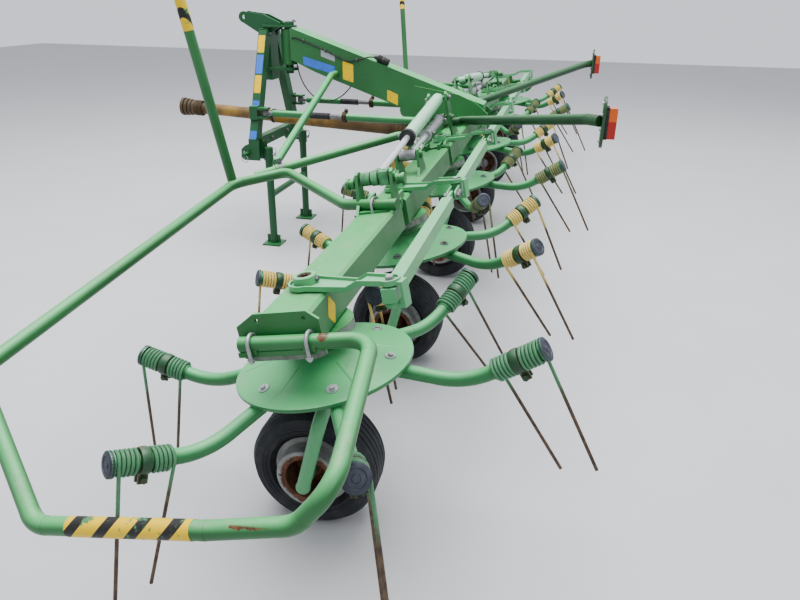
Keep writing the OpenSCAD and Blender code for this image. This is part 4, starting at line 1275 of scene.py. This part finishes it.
ribs = [
    stood(turned_section(RIB_SECTION, 30), start + way * (RIB_START + RIB_STEP * k), way)
    for start, way in ((SHAFT_REAR, shaft_way), (SHAFT_FRONT, -shaft_way)) for k in range(RIB_COUNT)
]
make_piece("shaft_ribs", joined(*ribs), yellow_guard, "frame")
joint = stood(turned_section(JOINT_SECTION, 30), SHAFT_REAR + shaft_way * SHAFT_JOINT, shaft_way)
make_piece("shaft_joint", joint, black, "frame")
tell()

# %% [markdown]
# ## Dampers
# A painted sleeve covers the front of each damper's rod, a black boot keeps its middle
# clean, and a clamp closes the barrel.

# %% Damper sleeves, boots and clamps
DAMPER_X, DAMPER_Z = 0.300, 0.852
SLEEVE_SECTION = mm((13.8, 930), (19.5, 930), (20.5, 935), (20.5, 1170), (19.5, 1176), (13.8, 1176))
boot_folds = [(17.5 if k % 2 else 20, 811 + 7.5 * k) for k in range(16)]
BOOT_SECTION = mm((13.8, 807), (16.5, 807), *boot_folds, (13.8, 931))
CLOSING_SECTION = mm((27.5, 700), (32, 702), (32, 724), (27.5, 726))
for side, s in SIDES.items():
    line = standing(upright(s * DAMPER_X, 0, DAMPER_Z), (0, 1, 0))
    ears = [brick(0.030, 0.054, y0, y0 + 0.005, 0.703, 0.723) for y0 in (-0.008, 0.003)]
    ear_bolt = stood(cross_bolt(0.016, 0.008, 0.008), (0.043, 0, 0.713), (0, 1, 0))
    clamp = joined(turned_section(CLOSING_SECTION, 22), *ears, ear_bolt)
    sleeve, boot = turned_section(SLEEVE_SECTION, 22), turned_section(BOOT_SECTION, 20)
    make_piece(f"damper_sleeves_{side}", moved(sleeve, line), green, f"damper_rod_{side}")
    make_piece(f"damper_boots_{side}", moved(boot, line), black, f"damper_rod_{side}")
    make_piece(f"damper_clamps_{side}", moved(clamp, line), rusty, "frame")
tell()

# %% [markdown]
# ## Headstock
# The swivel pin is held by a plate with one bolt, the lower hitch pins end in a ring pin,
# and each parking leg is locked by a pin through its sleeve.

# %% Headstock pins
RING_PIN = (0.424, 1.330, 0.598)
RING_R = 0.021
HANDLE = mm((0, 46), (12, 52), (30, 52), (40, 44), (40, 20))
KEEPER_AT = upright(0, 1.170, 1.364)
LOCK_X, LOCK_Y, LOCK_Z = 0.300, 1.225, 0.598
CROSSBAR_Y = 1.270
CROSSBAR_BOLTS = mm((270, 665), (130, 670), (60, 1294))
bolt = moved(bolt_head(0.020, 0.012), Matrix.Translation((0.040, 0, 0.005)))
keeper = joined(brick(-0.014, 0.052, -0.016, 0.016, 0.0, 0.005), bolt)
keeper = stood(keeper, KEEPER_AT, (0, 0, 1), (0, -1, 0))
make_piece("swivel_keeper", keeper, dull_zinc, "headstock", 0.0008)
for side, s in SIDES.items():
    x, y, z = RING_PIN
    turns = [2 * math.pi * k / 22 for k in range(23)]
    ring = [upright(s * x, y + RING_R * math.cos(t), z + RING_R * math.sin(t) - 0.012) for t in turns]
    pin = stood(disc(0.0045, 0.046, -0.023, 10), upright(s * x, y, z + 0.012), (0, 0, 1))
    make_piece(f"ring_pins_{side}", joined(carried_circle(ring, 0.0022, 6), pin), zinc, "headstock")
    handle = carried_circle([(0, y, z) for y, z in HANDLE], 0.003, 8)
    lock = joined(disc(0.007, 0.090, -0.045, 12), disc(0.0115, 0.006, 0.040, 14), handle)
    lock = stood(lock, upright(s * LOCK_X, LOCK_Y, LOCK_Z), (0, -1, 0), (1, 0, 0))
    make_piece(f"leg_locks_{side}", lock, zinc, "headstock")
    places = [upright(s * x, CROSSBAR_Y, z) for x, z in CROSSBAR_BOLTS]
    bolts = [stood(bolt_head(0.022, 0.0135), place, (0, -1, 0)) for place in places]
    make_piece(f"crossbar_bolts_{side}", joined(*bolts), dull_zinc, "headstock")
tell()

# %% [markdown]
# ## Lamps
# Each lamp is a moulded lens in a black tray, screwed to its board from behind.

# %% Lamp trays and screws
SCREW_RISES = (-0.078, 0.078, -0.03, 0.03)
TRAY_SIDES = mm((-37, 37, 58.5, 64), (-37, 37, -64, -58.5), (-37, -32.5, -64, 64), (32.5, 37, -64, 64))
for side, s in SIDES.items():
    tray = joined(*(brick(x0, x1, -0.0130, 0.0, z0, z1) for x0, x1, z0, z1 in TRAY_SIDES))
    tray = moved(tray, Matrix.Translation(upright(s * LAMP_X, LAMP_Y - 0.0003, LAMP_Z)))
    make_piece(f"lamp_trays_{side}", tray, black, "frame", 0.0012)
    screw = bolt_head(0.012, 0.008, 0.0015)
    places = [upright(s * LAMP_X, LAMP_Y + 0.012, LAMP_Z + rise) for rise in SCREW_RISES]
    screws = [stood(screw, place, (0, 1, 0)) for place in places]
    make_piece(f"lamp_screws_{side}", joined(*screws), zinc, "frame")
tell()

# %% [markdown]
# ## Labels and tape
# A label is a thin rounded sheet on a face, so it is made from its four corners and the
# way that the face looks. Warning tape is wound on the guard's run and round its post.

# %% Labels


def label(corners, outward, radius=0.006, thick=0.0007):
    """A blank sheet with rounded corners on four points given in order."""
    outward = Vector(outward).normalized()
    outline = []
    for k in range(4):
        here, before, after = (Vector(corners[j % 4]) for j in (k, k - 1, k + 1))
        a = here + (before - here).normalized() * radius
        b = here + (after - here).normalized() * radius
        outline += [a * (1 - t) ** 2 + here * 2 * t * (1 - t) + b * t ** 2 for t in (0, 0.25, 0.5, 0.75, 1)]
    count = len(outline)
    verts = [p + outward * 0.0001 for p in outline] + [p + outward * thick for p in outline]
    faces = [tuple(range(count)), tuple(range(count, 2 * count))]
    faces += [(k, (k + 1) % count, (k + 1) % count + count, k + count) for k in range(count)]
    return verts, faces


MAIN_FACE, MAIN_LABELS = 0.0801, (
    ("blue", blue_label, ((1.048, 1.173), (0.842, 1.119), (0.842, 1.068), (1.048, 1.124))),
    ("grey", grey_label, ((0.930, 1.218), (0.840, 1.190), (0.840, 1.146), (0.930, 1.175))),
    ("tall", yellow_label, ((0.790, 1.153), (0.722, 1.133), (0.722, 1.026), (0.790, 1.046))),
    ("rear", yellow_label, ((0.505, 0.994), (0.436, 0.968), (0.436, 0.902), (0.505, 0.930))),
)
LEG_TOP_X, LEG_TOP_Z, LEG_SLOPE = 0.1062, 1.318, 0.4105
LEG_EDGES = (1.274, 1.318)
LEG_LABELS = (
    (1.290, 1.192, yellow_label), (1.180, 1.072, blue_label), (1.064, 0.962, yellow_label),
    (0.919, 0.821, blue_label), (0.746, 0.667, blue_label),
)
END_DIAMOND = mm((2690, 382), (2655, 340), (2685, 292), (2722, 330))
for side, s in SIDES.items():
    for name, material, points in MAIN_LABELS:
        sheet = label([upright(s * MAIN_FACE, y, z) for y, z in points], (s, 0, 0))
        make_piece(f"beam_label_{name}_{side}", sheet, material, "frame")
    rear, front = LEG_EDGES
    for k, (top, low, material) in enumerate(LEG_LABELS):
        points = [
            upright(s * (LEG_TOP_X + (LEG_TOP_Z - z) * LEG_SLOPE), y, z)
            for z, y in ((top, rear), (top, front), (low, front), (low, rear))
        ]
        make_piece(f"leg_label_{k + 1}_{side}", label(points, (s * 0.925, 0, 0.380)), material, "headstock")
    diamond = label([on_line(s * x, -0.0751, h) for x, h in END_DIAMOND], -lean_y, 0.010)
    make_piece(f"beam_end_label_{side}", diamond, yellow_label, f"outer_beam_{side}")
tell()

# %% Tape
RUN_X, RUN_H, RUN_TAPE = 3.372, 0.165, (0.026, 0.10, 0.20, 0.330)
POST_LOW, POST_RISE = Vector((1.672, 0.692, 0.525)), Vector((0.135, -0.060, 0.800))
POST_TAPE = (0.780, 0.86, 0.94, 0.985)
RUN_TAPE_R, POST_TAPE_R, TAPE_STEPS = 0.0219, 0.0209, 20
DOME_SECTION = mm((0.4, 0), (21.5, -6), (22.2, -14), (22.2, -20), (20, -22), (0.4, -22))
tip = POST_LOW + POST_RISE
for side, s in SIDES.items():
    run = carried_circle(sided(s, [(RUN_X, y, RUN_H) for y in RUN_TAPE]), RUN_TAPE_R, TAPE_STEPS)
    make_piece(f"run_tape_{side}", run, run_tape, f"outer_beam_{side}")
    post = sided(s, [POST_LOW + POST_RISE * k for k in POST_TAPE])
    post = carried_circle(post, POST_TAPE_R, TAPE_STEPS)
    make_piece(f"post_tape_{side}", post, post_tape, f"outer_beam_{side}")
    rise = on_line(s * POST_RISE.x, POST_RISE.y, POST_RISE.z) - line_origin
    dome = stood(turned_section(DOME_SECTION, 20), on_line(s * tip.x, tip.y, tip.z + 0.0015), rise)
    make_piece(f"post_caps_{side}", dome, black, f"outer_beam_{side}")
tell()

# %% [markdown]
# ## The lamp cable
# A black cable comes along the main beam to a plug that is parked in a clip on the roof
# of the beam. It is tied down, so it is a plain swept tube with its ties.

# %% Cable, plug and ties
ROOF_REAR, ROOF_Z, ROOF_RISE, ROOF_RUN = -0.095, 0.930, 0.400, 1.205
PLUG_SECTION = mm(
    (0.4, 0), (18, 0), (20.5, 4), (20.5, 26), (22.5, 28), (22.5, 40), (19.5, 44), (19.5, 72), (12, 80),
    (8, 96), (0.4, 96),
)
CABLE_DROPS = mm(
    (-70, 625, -10), (-86, 680, 20), (-84.5, 760, 60), (-84.2, 900, 50), (-84.2, 1040, 45),
    (-84.2, 1105, 50),
)
TIE_X, TIE_OUT = -0.0802, -0.0895
TIE_DROPS = mm((700, 35), (900, 50), (1040, 45))
RIDGES = 14


def roof(y):
    """The height of the main beam's roof ahead of the rotor line."""
    return ROOF_Z + (y - ROOF_REAR) * ROOF_RISE / ROOF_RUN


roof_way = Vector((0, 1, ROOF_RISE / ROOF_RUN)).normalized()
plug_at = upright(-0.062, 0.500, roof(0.500) + 0.0225)
ridge = brick(0.019, 0.0222, -0.0018, 0.0018, 0.046, 0.070)
ridges = [moved(ridge, Matrix.Rotation(2 * math.pi * k / RIDGES, 4, "Z")) for k in range(RIDGES)]
plug = stood(joined(turned_section(PLUG_SECTION, 24), *ridges), plug_at, roof_way)
make_piece("cable_plug", plug, black, "frame")
route = [plug_at + roof_way * 0.090]
route += [upright(x, y, roof(y) - drop) for x, y, drop in CABLE_DROPS]
route.append(upright(-0.0600, 1.130, 1.245))
make_piece("lamp_cable", carried_circle(smooth_line(route), 0.0040, 8), black, "frame")
ties = []
for y, drop in TIE_DROPS:
    z = roof(y) - drop
    bend = ((TIE_X, z - 0.012), (TIE_OUT, z - 0.005), (TIE_OUT, z + 0.005), (TIE_X, z + 0.012))
    ties.append(carried_circle([upright(a, y, b) for a, b in bend], 0.0022, 6))
make_piece("cable_ties", joined(*ties), dull_zinc, "frame")
tell()
